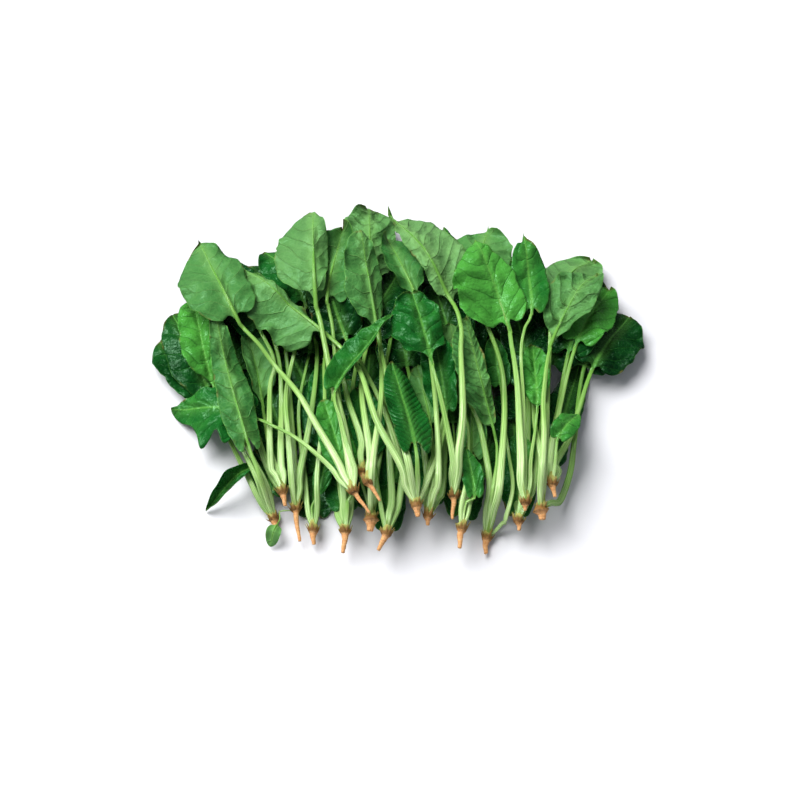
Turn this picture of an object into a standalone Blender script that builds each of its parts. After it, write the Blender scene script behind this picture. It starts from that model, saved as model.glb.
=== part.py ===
# A loose bunch of young spinach plants, lying on a surface.
# Metres, +Z up, roots towards -Y and leaf tips towards +Y. The origin is at the bottom centre.
# Each plant has a root node (taproot stub, crown and the stalks' sheaths) and leaf nodes (stalk and blade).

import math

import bpy
import numpy as np

mm = 0.001

# Driving dimensions, in millimetres
stalkRadius = 2.5        # a leaf stalk halfway up
stalkRingSpacing = 22.0
shortestStalk = 6.0
bladeHalfThickness = 0.45
veinRadius = 1.5         # the midrib at the blade's base
veinTaper = 0.6          # the share that it has lost at the tip
lobeReach = 6.3          # how far the blade's corners reach back beside the stalk
lobeSpan = 0.25          # the share of the blade that reaches back
rollRamp = 30.0          # the length of stalk over which a blade's roll begins
crownRadius = 5.2
sheathLength = 17.0      # how far the sheathed stalk bases reach up from the crown
sheathHalfWidth = 7.0
sheathHalfHeight = 4.4
stalkStart = 19.0        # the leaf nodes begin here, measured from the crown
stalkSpacing = 4.4       # from one stalk to the next of a plant, where they leave the sheaths
throat = 9.0             # from the end of the plain stalk to the blade's base

# How leaves settle on the heap
cell = 2.5               # of the height map
heapHalf = (240.0, 190.0)
restGap = 0.9            # between a leaf and what it lies on
leafSlope = 0.42         # the steepest that a leaf follows what is under it
leafStiffness = 13.0     # the length over which a leaf bridges bumps
freeLength = 6.0         # at its start a piece is not lifted, as it leaves its own crown there
tiltLimit = 6.0          # how far an edge may tilt from the midrib
tiltRamp = 20.0
rowParts, sideParts = 8, 5   # how finely a piece is tested against the heap, between its rings and round them

# The blade from base to tip: where along it, and the share of its half width there
ovate = ((0, 0.42), (0.1, 0.84), (0.25, 1), (0.4, 0.97), (0.55, 0.87), (0.7, 0.7), (0.85, 0.46), (1, 0.06))
tapered = ((0, 0.14), (0.12, 0.42), (0.28, 0.8), (0.44, 1), (0.6, 0.93), (0.75, 0.7), (0.88, 0.4), (1, 0.05))

# A ring has eight points: the right edge, three above, the left edge and three below
ringAcross = np.array([-1, -0.5, 0, 0.5, 1, 0.5, 0, -0.5])
ringSide = np.array([0, 1, 1, 1, 0, -1, -1, -1])
roundAcross = np.cos(np.radians([180, 135, 90, 45, 0, 45, 90, 135]))
roundSide = np.sin(np.radians([0, 45, 90, 45, 0, -45, -90, -45]))


def leaf(name, tier, via, base, tip, width, roll=0, fold=0, curl=0, arch=5, outline=ovate, node=False):
    # the stalk runs from the crown through the via points to base, the blade from base to tip. roll turns the
    # blade about its midrib, left side up; fold lifts both halves from the midrib; curl bends them further
    # towards their edges; all in degrees. arch is the rise of the middle of the blade.
    return dict(name=name, tier=tier, via=via, base=base, tip=tip, width=width, roll=roll, fold=fold,
                curl=curl, arch=arch, outline=outline, node=node)


# Each plant: where its crown lies, where its root ends from there, how thick the root is, when the crown is
# laid on the heap, and its leaves. Places are on the surface, in millimetres.
plants = [
    dict(name="a", crown=(-96, -120), root=(1, -9), girth=2.8, tier=0, leaves=[
        leaf("a1", 7, [(-114, -78)], (-114, -48), (-151, 50), 46, roll=-25, fold=-35, node=True),
        leaf("a2", 4, [(-122, -70)], (-145, -10), (-165, 72), 38, fold=22, node=True),
        leaf("a3", 1, [(-126, -66)], (-154, -8), (-192, 36), 48, fold=8, node=True),
        leaf("a4", 1, [(-108, -96)], (-119, -84), (-150, -116), 26, fold=20, node=True),
        leaf("a5", 2, [(-118, -70)], (-152, -6), (-180, 58), 40, fold=15),
    ]),
    dict(name="b", crown=(-89, -104), root=(2, -11), girth=2.6, tier=3, leaves=[
        leaf("b1", 4, [(-101, -60)], (-109, -22), (-122, 41), 34, roll=20, fold=40, node=True),
        leaf("b2", 5, [(-99, -80), (-101, -14), (-98, 10)], (-112, 42), (-144, 112), 46),
        leaf("b3", 4, [(-91, -74), (-93, 2)], (-102, 42), (-122, 112), 48),
        leaf("b4", 1, [(-108, -60)], (-126, 10), (-162, 78), 50, node=True),
    ]),
    dict(name="c", crown=(-79, -115), root=(3, -26), girth=2.3, tier=2, leaves=[
        leaf("c1", 5, [(-85, -60), (-90, -17)], (-88, 42), (-106, 119), 50, node=True),
        leaf("c2", 3, [(-76, -86), (-68, -38), (-64, 14)], (-68, 46), (-84, 124), 50),
        leaf("c3", 2, [(-82, -60)], (-90, 30), (-104, 100), 50, node=True),
    ]),
    dict(name="d", crown=(-65, -132), root=(0, -11), girth=2.8, tier=1, leaves=[
        leaf("d1", 2, [(-63, -108)], (-57, -92), (-46, -35), 22, fold=15, outline=tapered),
        leaf("d2", 3, [(-66, -112)], (-62, -104), (-55, -78), 16, fold=20, outline=tapered),
        leaf("d3", 1, [(-72, -90), (-78, -30)], (-70, 26), (-64, 108), 52, node=True),
        leaf("d4", 3, [(-62, -90), (-57, -36), (-58, 7)], (-55, 40), (-46, 118), 48),
    ]),
    dict(name="e", crown=(-40, -137), root=(-2, -17), girth=2.8, tier=1, leaves=[
        leaf("e1", 2, [(-42, -104), (-50, -40)], (-45, 38), (-38, 122), 52, node=True),
        leaf("e2", 1, [(-36, -100), (-36, -30)], (-28, 34), (-14, 112), 50, node=True),
        leaf("e3", 0, [(-50, -98)], (-74, -2), (-110, 66), 50, node=True),
    ]),
    dict(name="f", crown=(-33, -115), root=(12, -17), girth=1.7, tier=5, leaves=[
        leaf("f1", 8, [(-46, -88), (-63, -56), (-80, -24), (-106, 13)], (-128, 52), (-168, 125), 56,
             roll=8, fold=6, curl=-14, node=True),
        leaf("f2", 8, [(-37, -86), (-42, -58), (-49, -28), (-54, -3), (-58, 28)], (-63, 67), (-69, 142), 48,
             fold=-6, curl=-10, node=True),
        leaf("f3", 7, [(-38, -86), (-46, -29), (-51, 28)], (-59, 66), (-45, 132), 44, fold=10, node=True),
        leaf("f4", 9, [(-35, -90), (-41, -60)], (-45, -26), (-3, 28), 34, roll=-38, fold=25, arch=2,
             node=True),
        leaf("f5", 6, [(-52, -90), (-77, -66), (-94, -50)], (-124, -39), (-182, -29), 50, fold=8,
             node=True),
    ]),
    dict(name="g", crown=(-27, -97), root=(3, -9), girth=2.4, tier=3, leaves=[
        leaf("g1", 4, [(-28, -67), (-40, -25)], (-46, 26), (-30, 100), 48),
    ]),
    dict(name="h", crown=(-22, -110), root=(9, -14), girth=2.4, tier=4, leaves=[
        leaf("h1", 4, [(-21, -82), (-28, -20)], (-20, 34), (8, 108), 50, node=True),
    ]),
    dict(name="i", crown=(-20, -130), root=(-1, -10), girth=4.0, tier=1, leaves=[
        leaf("i1", 6, [(-18, -90), (-12, -29), (-15, 40)], (-20, 82), (-22, 150), 48, fold=-8, node=True),
        leaf("i2", 1, [(-16, -90), (-6, -30)], (0, 30), (14, 112), 50, node=True),
    ]),
    dict(name="j", crown=(-8, -143), root=(-6, -13), girth=2.8, tier=1, leaves=[
        leaf("j1", 2, [(-4, -112), (-7, -60), (-10, -10)], (-4, 40), (-6, 124), 48),
        leaf("j2", 1, [(2, -112), (8, -60)], (14, 10), (32, 90), 50, node=True),
    ]),
    dict(name="k", crown=(15, -124), root=(1, -9), girth=3.2, tier=4, leaves=[
        leaf("k1", 7, [(4, -100), (-16, -61), (-29, -14), (-42, 12)], (-62, 38), (-124, 104), 66, roll=28,
             fold=-22, node=True),
        leaf("k2", 7, [(9, -98), (-2, -53), (-10, -7)], (-16, 28), (-32, 124), 56, fold=32, node=True),
        leaf("k3", 7, [(16, -106)], (14, -84), (-6, 14), 34, fold=-8, curl=-20, outline=tapered, node=True),
        leaf("k4", 3, [(24, -98), (34, -62), (42, -20)], (50, 16), (50, 96), 48),
        leaf("k5", 5, [(6, -96), (-10, -42), (-26, -6)], (-42, 28), (-62, 86), 42),
    ]),
    dict(name="l", crown=(24, -129), root=(0, -7), girth=2.6, tier=1, leaves=[
        leaf("l1", 6, [(32, -102), (30, -40), (22, 20)], (14, 56), (-9, 122), 40, fold=20, node=True),
        leaf("l2", 4, [(28, -100)], (26, -52), (16, 0), 22, fold=15, outline=tapered),
        leaf("l3", 1, [(36, -95)], (38, 20), (30, 106), 52, node=True),
    ]),
    dict(name="m", crown=(44, -113), root=(-1, -18), girth=2.6, tier=5, leaves=[
        leaf("m1", 9, [(48, -84), (51, -55), (50, -3), (49, 24)], (44, 56), (2, 142), 44, roll=-10,
             fold=-8, curl=-14, node=True),
        leaf("m2", 7, [(43, -84), (34, -41), (28, -18)], (25, -2), (12, 55), 42, fold=14, node=True),
        leaf("m3", 6, [(48, -84), (54, 0)], (55, 64), (38, 138), 26, roll=-50),
    ]),
    dict(name="n", crown=(50, -139), root=(-3, -15), girth=2.8, tier=1, leaves=[
        leaf("n1", 5, [(54, -100), (56, -60)], (52, -32), (42, 36), 26, fold=20, outline=tapered, node=True),
        leaf("n2", 5, [(54, -118)], (57, -112), (62, -70), 16, fold=12, outline=tapered),
        leaf("n3", 1, [(57, -100)], (66, 14), (76, 98), 52, node=True),
        leaf("n4", 3, [(58, -100)], (61, -70), (58, -28), 20, outline=tapered),
    ]),
    dict(name="o", crown=(70, -136), root=(-1, -13), girth=2.8, tier=3, leaves=[
        leaf("o1", 6, [(75, -104), (78, -80)], (75, -54), (52, 30), 36, roll=-15, fold=-12, outline=tapered,
             node=True),
        leaf("o2", 5, [(84, -122), (89, -100), (88, -76), (84, -40)], (82, -12), (76, 26), 18),
        leaf("o3", 6, [(80, -100), (84, -10)], (79, 48), (74, 130), 52, fold=10, node=True),
        leaf("o4", 4, [(72, -100), (65, -54), (56, -30)], (46, 8), (30, 80), 46),
    ]),
    dict(name="p", crown=(99, -120), root=(1, -6), girth=2.2, tier=5, leaves=[
        leaf("p1", 9, [(96, -86), (95, -40), (94, -18), (91, 10)], (86, 38), (56, 114), 62, roll=6, fold=5,
             curl=-12, node=True),
        leaf("p2", 8, [(99, -84), (99, -38), (98, 6), (101, 28)], (111, 56), (102, 115), 42, fold=-8,
             node=True),
        leaf("p3", 7, [(104, -84)], (109, -42), (115, 12), 27, fold=12, node=True),
        leaf("p4", 6, [(100, -104)], (101, -98), (102, -62), 12, outline=tapered),
    ]),
    dict(name="q", crown=(94, -130), root=(1, -7), girth=2.4, tier=1, leaves=[
        leaf("q1", 1, [(100, -94), (104, -30)], (104, 30), (98, 112), 52, node=True),
        leaf("q2", 1, [(108, -92)], (122, 10), (138, 88), 52, node=True),
    ]),
    dict(name="r", crown=(111, -124), root=(1, -8), girth=3.8, tier=2, leaves=[
        leaf("r1", 6, [(116, -60), (121, 10)], (127, 58), (162, 112), 56, roll=-10, fold=-8,
             curl=-10, node=True),
        leaf("r2", 7, [(114, -70), (115, -30)], (125, 20), (155, 82), 40, roll=-20, fold=30, node=True),
        leaf("r3", 1, [(127, -104), (136, -82), (139, -58)], (150, 8), (178, 68), 46),
    ]),
    dict(name="s", crown=(120, -106), root=(2, -10), girth=2.5, tier=4, leaves=[
        leaf("s1", 3, [(124, -80), (135, -60), (144, -33)], (158, 8), (190, 62), 50, fold=8, node=True),
        leaf("s2", 5, [(120, -78), (130, -27)], (143, 26), (173, 80), 44, fold=12, node=True),
        leaf("s3", 4, [(119, -78), (126, -40)], (138, 20), (160, 94), 46),
        leaf("s4", 6, [(123, -84)], (126, -68), (147, -40), 22),
        leaf("s5", 4, [(112, -78), (108, -50)], (106, -10), (96, 54), 42),
    ]),
]


def smoothStep(x):
    x = np.clip(x, 0, 1)
    return x * x * (3 - 2 * x)


def curveThrough(points, steps=12):
    # Catmull-Rom through plan points; returns the curve and how many steps each stretch has
    p = np.array(points, float)
    p = np.vstack([2 * p[0] - p[1], p, 2 * p[-1] - p[-2]])
    t = np.linspace(0, 1, steps, endpoint=False)[:, None]
    runs = []
    for a, b, c, d in zip(p, p[1:], p[2:], p[3:]):
        runs.append(b + 0.5 * t * (c - a + t * (2 * a - 5 * b + 4 * c - d + t * (3 * (b - c) + d - a))))
    return np.vstack(runs + [p[-2:-1]]), steps


def along(curve):
    return np.concatenate([[0], np.cumsum(np.linalg.norm(np.diff(curve, axis=0), axis=1))])


def placeOn(curve, arc, at):
    # plan positions and unit directions at the given lengths
    spots = np.stack([np.interp(at, arc, curve[:, k]) for k in (0, 1)], axis=1)
    before, after = (np.stack([np.interp(at + step, arc, curve[:, k]) for k in (0, 1)], axis=1)
                     for step in (-1.5, 1.5))
    ahead = after - before
    return spots, ahead / np.linalg.norm(ahead, axis=1, keepdims=True)


def bladeSection(halfWidth, across, fold, curl):
    # how far sideways and how far up, for a half width, folded and curled, in radians
    reach = np.abs(across)
    if abs(curl) < 0.01:
        return halfWidth * across * math.cos(fold), halfWidth * reach * math.sin(fold)
    sideways = (np.sin(fold + curl * reach) - math.sin(fold)) / curl
    up = (math.cos(fold) - np.cos(fold + curl * reach)) / curl
    return halfWidth * sideways * np.sign(across), halfWidth * up


def heading(plant):
    # the direction in which a plant's stalks leave its crown
    ahead = sum(np.array(one["via"][0], float) - plant["crown"] for one in plant["leaves"])
    return ahead / np.linalg.norm(ahead)


def sheathPoint(plant, one):
    # a plant's stalks stand side by side, in their order, where they leave the sheaths
    ahead = heading(plant)
    side = np.array([-ahead[1], ahead[0]])
    bearings = sorted((np.array(other["via"][0], float) - plant["crown"]) @ side for other in plant["leaves"])
    rank = bearings.index((np.array(one["via"][0], float) - plant["crown"]) @ side)
    offset = stalkSpacing * (rank - (len(bearings) - 1) / 2)
    return np.array(plant["crown"]) + ahead * stalkStart + side * offset


def leafRings(one, plant):
    # the rings of a leaf before it settles, and the length along its stalk and blade at each ring
    start = [plant["crown"], sheathPoint(plant, one)]
    curve, steps = curveThrough(start + [*one["via"], one["base"], one["tip"]])
    arc = along(curve)
    baseAt = arc[steps * (len(one["via"]) + 2)]
    bladeLength = arc[-1] - baseAt
    stalkEnd = baseAt - throat
    stalkRings = max(2, round((stalkEnd - stalkStart) / stalkRingSpacing) + 1)
    stalkAt = np.linspace(min(stalkStart, stalkEnd - shortestStalk), stalkEnd, stalkRings)
    bladeAt = baseAt + bladeLength * np.array([u for u, _ in one["outline"]])
    lengths = np.concatenate([stalkAt, bladeAt])
    spots, ahead = placeOn(curve, arc, lengths)
    roll = math.radians(one["roll"]) * smoothStep((lengths - baseAt + rollRamp) / rollRamp)
    rings = []
    for n, (spot, forward, turn) in enumerate(zip(spots, ahead, roll)):
        left = np.array([-forward[1] * math.cos(turn), forward[0] * math.cos(turn), math.sin(turn)])
        up = np.array([forward[1] * math.sin(turn), -forward[0] * math.sin(turn), math.cos(turn)])
        if n < stalkRings:
            sideways, lift = stalkRadius * roundAcross, stalkRadius * roundSide
            back = 0
        else:
            u, share = one["outline"][n - stalkRings]
            sideways, lift = bladeSection(share * one["width"] / 2, ringAcross, math.radians(one["fold"]),
                                          math.radians(one["curl"]))
            inner = 1 - np.abs(ringAcross)
            half = bladeHalfThickness * (inner > 0)
            half[ringAcross == 0] = veinRadius * (1 - veinTaper * u)
            lift = lift + half * ringSide + one["arch"] * math.sin(math.pi * u)
            back = lobeReach * max(0, 1 - u / lobeSpan) * np.abs(ringAcross) ** 1.5
        ring = np.outer(sideways, left) + np.outer(lift, up)
        ring[:, :2] += spot - np.outer(back * np.ones(len(ring)), forward)
        rings.append(ring)
    return np.array(rings), lengths


def rootRings(plant):
    # the cut root's end, the root, the crown and the stalks' sheaths
    crown = np.array(plant["crown"], float)
    root = np.array(plant["root"], float)
    rootLength = np.linalg.norm(root)
    ahead = heading(plant)
    girth = plant["girth"]
    # how far along, half width, half height; behind the crown the axis follows the root
    profile = [(-rootLength, girth * 0.75, girth * 0.75), (-rootLength * 0.4, girth, girth),
               (-2.5, girth * 1.15, girth * 1.15), (0, crownRadius * 0.8, crownRadius * 0.75),
               (3.5, crownRadius, crownRadius * 0.85), (9, crownRadius, sheathHalfHeight),
               (sheathLength, sheathHalfWidth, sheathHalfHeight)]
    rings, lengths = [], []
    for at, halfWidth, halfHeight in profile:
        spot = crown - root * (at / rootLength) if at < 0 else crown + ahead * at
        toward = -root / rootLength if at < -3 else ahead
        left = np.array([-toward[1], toward[0], 0])
        ring = np.array([spot[0], spot[1], 0]) + np.outer(halfWidth * roundAcross, left)
        ring[:, 2] += halfHeight * roundSide
        rings.append(ring)
        lengths.append(at + rootLength)
    return np.array(rings), np.array(lengths)


heights = np.zeros([round(2 * half / cell) for half in heapHalf])


def cellsUnder(points):
    return tuple(((points[..., k] + heapHalf[k]) / cell).astype(int) for k in (0, 1))


def highestNear():
    # the height map, each cell as high as the highest of its neighbours
    padded = np.pad(heights, 1)
    rows, columns = heights.shape
    return np.max([padded[i:i + rows, j:j + columns] for i in range(3) for j in range(3)], axis=0)


def eased(need, arc, slope, stiffness):
    # the lowest smooth rise along a leaf that is nowhere under what is needed
    apart = np.abs(arc[:, None] - arc[None, :])
    steep = (need[None, :] - slope * apart).max(axis=1)
    near = apart <= stiffness
    highest = np.where(near, steep[None, :], -np.inf).max(axis=1)
    return near @ highest / near.sum(axis=1)


def between(rows, parts, axis):
    # rows with points added between them in equal parts along an axis
    size = rows.shape[axis]
    at = np.linspace(0, size - 1, (size - 1) * parts + 1)
    low = np.minimum(at.astype(int), size - 2)
    share = (at - low).reshape([-1 if k == axis else 1 for k in range(rows.ndim)])
    return np.take(rows, low, axis) * (1 - share) + np.take(rows, low + 1, axis) * share


def settle(rings, lengths, rigid=False):
    # lays a piece on the heap, lifted as little as it needs, and adds it to the height map
    closed = np.concatenate([rings, rings[:, :1]], axis=1)
    skin = between(between(closed, rowParts, 0), sideParts, 1)
    arc = between(lengths, rowParts, 0)
    across = between(np.append(ringAcross, -1), sideParts, 0)
    need = highestNear()[cellsUnder(skin)] + restGap - skin[..., 2]
    need[arc < arc[0] + freeLength] = -np.inf
    if rigid:
        lift = np.full(need.shape, need.max())
    else:
        right = eased(need[:, across < -0.01].max(axis=1), arc, leafSlope, leafStiffness)
        left = eased(need[:, across > 0.01].max(axis=1), arc, leafSlope, leafStiffness)
        # the blade tilts with what is under it, but no more than its width allows
        stalkEnd = lengths[-len(ovate) - 1]
        middle, tilt = (left + right) / 2, np.clip((left - right) / 2, -tiltLimit, tiltLimit)
        tilt = tilt * smoothStep((arc - stalkEnd) / tiltRamp)
        lift = middle[:, None] + tilt[:, None] * across
        rest = eased((need - lift).max(axis=1), arc, leafSlope, leafStiffness)
        lift = lift + rest[:, None]
    skin[..., 2] += lift
    np.maximum.at(heights, cellsUnder(skin), skin[..., 2])
    rings = rings.copy()
    rings[..., 2] += lift[::rowParts, ::sideParts][:, :-1]
    return rings


def solidFromRings(name, rings, colour, roughness):
    # one closed mesh through the rings, capped at both ends; above and below are cut into triangles alike,
    # so that a twisted blade keeps its thickness
    count, size = rings.shape[:2]
    points = rings.reshape(-1, 3) * mm
    faces = []
    for n in range(count - 1):
        for k in range(size):
            after = (k + 1) % size
            a, b, c, d = n * size + k, (n + 1) * size + k, (n + 1) * size + after, n * size + after
            faces += [(a, b, c), (a, c, d)] if ringSide[k] + ringSide[after] > 0 else [(a, b, d), (b, c, d)]
    faces.append(tuple(range(size)))
    faces.append(tuple((count - 1) * size + k for k in range(size))[::-1])
    mesh = bpy.data.meshes.new(name)
    mesh.from_pydata(points.tolist(), [], faces)
    mesh.materials.append(material(colour, roughness))
    mesh.update()
    mesh.shade_smooth()
    piece = bpy.data.objects.new(name, mesh)
    bpy.context.collection.objects.link(piece)
    return piece


def material(colour, roughness):
    name, rgb = colour
    found = bpy.data.materials.get(name)
    if found:
        return found
    made = bpy.data.materials.new(name)
    made.use_nodes = True
    shader = made.node_tree.nodes["Principled BSDF"]
    shader.inputs["Base Color"].default_value = (*rgb, 1)
    shader.inputs["Roughness"].default_value = roughness
    shader.inputs["Metallic"].default_value = 0
    return made


leafGreen = ("spinach_leaf", (0.06, 0.22, 0.06))
rootOrange = ("spinach_root", (0.66, 0.36, 0.14))


def layOut():
    # every piece in the order in which it is laid on the heap: its tier, its plant and the leaf, if it is one
    order = []
    for plant in plants:
        order.append((plant["tier"], plant, None))
        order += [(one["tier"], plant, one) for one in plant["leaves"]]
    return sorted(order, key=lambda row: row[0])


def build():
    for old in list(bpy.data.objects):
        bpy.data.objects.remove(old, do_unlink=True)
    kept = []
    for _, plant, one in layOut():
        if one is None:
            rings = settle(*rootRings(plant), rigid=True)
            kept.append(("plant_" + plant["name"] + "_root", rings, rootOrange))
            continue
        rings = settle(*leafRings(one, plant))
        if one["node"]:
            kept.append(("plant_" + plant["name"] + "_leaf_" + one["name"][1:], rings, leafGreen))
    every = np.concatenate([rings.reshape(-1, 3) for _, rings, _ in kept])
    low, high = every.min(axis=0), every.max(axis=0)
    origin = np.array([(low[0] + high[0]) / 2, (low[1] + high[1]) / 2, low[2]])
    for name, rings, colour in kept:
        solidFromRings(name, rings - origin, colour, 0.5 if colour is leafGreen else 0.7)


build()
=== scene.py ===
import math

import bpy
import numpy as np
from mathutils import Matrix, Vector


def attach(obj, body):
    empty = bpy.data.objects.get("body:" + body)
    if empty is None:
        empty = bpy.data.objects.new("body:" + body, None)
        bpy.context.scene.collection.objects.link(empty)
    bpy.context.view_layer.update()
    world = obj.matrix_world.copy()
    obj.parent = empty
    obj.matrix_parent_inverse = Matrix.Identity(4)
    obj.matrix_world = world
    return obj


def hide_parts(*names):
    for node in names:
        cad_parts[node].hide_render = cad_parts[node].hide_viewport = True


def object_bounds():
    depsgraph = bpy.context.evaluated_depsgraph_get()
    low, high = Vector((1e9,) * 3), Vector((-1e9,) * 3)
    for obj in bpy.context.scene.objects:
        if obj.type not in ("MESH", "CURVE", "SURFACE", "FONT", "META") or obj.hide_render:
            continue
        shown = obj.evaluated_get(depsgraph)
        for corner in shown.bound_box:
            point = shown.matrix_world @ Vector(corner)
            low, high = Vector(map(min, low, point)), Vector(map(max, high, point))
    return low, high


# A loose bunch of spinach plants, each lying in the heap with its root, its stalks and its blades.
# Places are on the table, in millimetres; roots towards -Y, leaf tips towards +Y.

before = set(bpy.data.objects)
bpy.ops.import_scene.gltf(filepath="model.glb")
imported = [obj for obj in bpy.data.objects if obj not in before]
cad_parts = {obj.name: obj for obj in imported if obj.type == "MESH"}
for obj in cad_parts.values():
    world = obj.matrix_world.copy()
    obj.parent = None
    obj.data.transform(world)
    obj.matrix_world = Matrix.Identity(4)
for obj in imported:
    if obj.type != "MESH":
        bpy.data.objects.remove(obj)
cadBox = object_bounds()
print("frame:", len(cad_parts), "nodes")

mm = 0.001      # the script's own unit, in metres

leafUsual = dict(
    roll=0,             # degrees about its own length
    fold=0, curl=0,     # degrees, as (right, left) where the halves differ
    arch=5, tipBend=0,  # how far its middle and its tip rise
    kind="broad",
    under=False,        # whether its underside shows
    tone=0.5,           # from dark to fresh; a low tone on a leaf lying beneath others is painted shade
    ruffle=1.0, quilt=1.0,
    veins=1.0,          # their spacing
    thick=1.0,          # its stalk
    skew=0,             # how much wider its left half is
    hook=0,             # the length of a drawn-out tip
    variant=0,          # another draw of the same leaf
    inner=False,
)


def leaf(name, tier, via, base, tip, width, **ways):
    # its place in the heap, the places its stalk passes, both ends of its blade and the blade's width
    one = dict(leafUsual, name=name, tier=tier, via=via, base=base, tip=tip, width=width, **ways)
    for key in ("fold", "curl"):
        if not isinstance(one[key], tuple):
            one[key] = (one[key], one[key])
    one.setdefault("fine", tier > 3 or one["under"])
    return one


# a change of a start or a step is another draw of all the pieces it numbers
seeds = dict(root=100, leaf=1000, eachPlant=211, eachLeaf=17, eachVariant=5003, innerLeaves=300)

plants = []


def addInnerLeaves(plant, seed):
    # the leaves under the stalks, short ones and longer ones, that fill each plant; their low tones paint the
    # shade between the stalks
    dice = np.random.default_rng(seed)
    crown = np.array(plant["crown"], float)
    # where each blade starts and ends, its width, and how many degrees aside it points
    sizes = ((20, 72, 30, 0), (50, 108, 38, -8), (88, 148, 46, 7))
    for count, (start, end, width, aside) in enumerate(sizes):
        bearing = math.radians(90 - crown[0] * 0.08 + dice.uniform(-6, 6) + aside)
        ahead = np.array([math.cos(bearing), math.sin(bearing)])
        start, end = (value + dice.uniform(-6, 6) for value in (start, end))
        bend = np.array([-ahead[1], ahead[0]]) * dice.uniform(-9, 9)
        plant["leaves"].append(leaf(
            plant["name"] + str(7 + count), 0, [tuple(crown + ahead * start * 0.6)],
            tuple(crown + ahead * start), tuple(crown + ahead * end + bend), width + dice.uniform(-4, 6),
            tone=dice.uniform(0, 0.4), ruffle=0.3, thick=0.5, fine=False, arch=0, inner=True))


def addPlant(name, crown, rootEnd, girth, tier, leaves):
    # its crown, where its root ends from there, the root's thickness, its place in the heap, its leaves
    plant = dict(name=name, crown=crown, root=rootEnd, girth=girth, tier=tier, leaves=leaves)
    if tier < 2:
        addInnerLeaves(plant, seeds["innerLeaves"] + len(plants))
    plants.append(plant)


# leaves lying low in the heap have tones near 0: painted shade
addPlant("a", (-96, -120), (1, -9), 2.8, 0, [
    leaf("a1", 7, [(-108, -92)], (-118, -62), (-147, 54), 30, kind="pointed", under=True, tone=0.25, roll=-15,
         fold=(-30, -12), curl=(-20, 10), ruffle=1.4, quilt=1.4),
    leaf("a2", 4, [(-112, -80)], (-147, -6), (-165, 70), 40, kind="wedge", tone=1.0, fold=(34, 14),
         curl=(44, 16), thick=0.8),
    leaf("a3", 1, [(-119, -84)], (-154, -8), (-192, 36), 50, tone=0.15, fold=12, curl=20, ruffle=1.6,
         thick=0.8),
    leaf("a4", 1, [(-106, -96)], (-112, -80), (-150, -112), 21, kind="narrow", fold=(50, 30), curl=(30, 50),
         arch=9, ruffle=2.4, quilt=2.0),
    leaf("a5", 2, [(-115, -82)], (-152, -6), (-182, 60), 42, tone=0.2, fold=15, ruffle=1.4, thick=0.8),
])
addPlant("b", (-89, -104), (2, -11), 2.6, 3, [
    leaf("b1", 4, [(-101, -60)], (-108, -20), (-123, 44), 34, kind="wedge", under=True, tone=0.55, roll=20,
         fold=(20, 45)),
    leaf("b2", 5, [(-99, -80), (-101, -14), (-98, 10)], (-112, 42), (-144, 112), 46, tone=0.1),
    leaf("b3", 4, [(-91, -74), (-93, 2)], (-102, 42), (-122, 104), 48, tone=0.05),
    leaf("b4", 1, [(-108, -60)], (-126, 10), (-162, 78), 50, tone=0.05),
])
addPlant("c", (-79, -115), (3, -26), 2.3, 2, [
    leaf("c1", 5, [(-85, -60), (-88, -17), (-80, 30)], (-76, 66), (-108, 116), 40, tone=0.35, fold=(4, 12),
         ruffle=1.8),
    leaf("c2", 3, [(-76, -86), (-68, -38), (-64, 14)], (-68, 46), (-84, 124), 50, tone=0.05),
    leaf("c3", 2, [(-82, -60)], (-90, 30), (-104, 100), 50, tone=0.05),
    leaf("c0", 1, [(-91, -121)], (-93, -126), (-99, -143), 11, kind="wedge", under=True, tone=0.6, thick=0.6),
])
addPlant("d", (-65, -132), (0, -11), 2.8, 1, [
    leaf("d1", 2, [(-63, -108)], (-57, -92), (-46, -35), 22, kind="narrow", fold=15, thick=0.75),
    leaf("d2", 3, [(-66, -112)], (-62, -104), (-55, -78), 16, kind="narrow", tone=0.3, fold=20, thick=0.75),
    leaf("d3", 1, [(-72, -90), (-78, -30)], (-70, 26), (-64, 108), 52, tone=0.05, thick=0.75),
    leaf("d4", 3, [(-62, -90), (-57, -36), (-58, 7)], (-55, 40), (-46, 118), 48, tone=0.05, thick=0.75),
])
addPlant("e", (-40, -137), (-2, -17), 2.8, 1, [
    leaf("e1", 2, [(-42, -104), (-50, -40)], (-45, 38), (-38, 122), 52, tone=0.1),
    leaf("e2", 1, [(-36, -100), (-36, -30)], (-28, 34), (-14, 112), 50, tone=0.1),
    leaf("e3", 0, [(-50, -98)], (-74, -2), (-110, 66), 50, tone=0.1),
    leaf("e4", 3, [(-38, -114)], (-37, -104), (-58, -30), 27, kind="wedge", tone=0.75, fold=(6, 14),
         fine=True),
])
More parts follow.
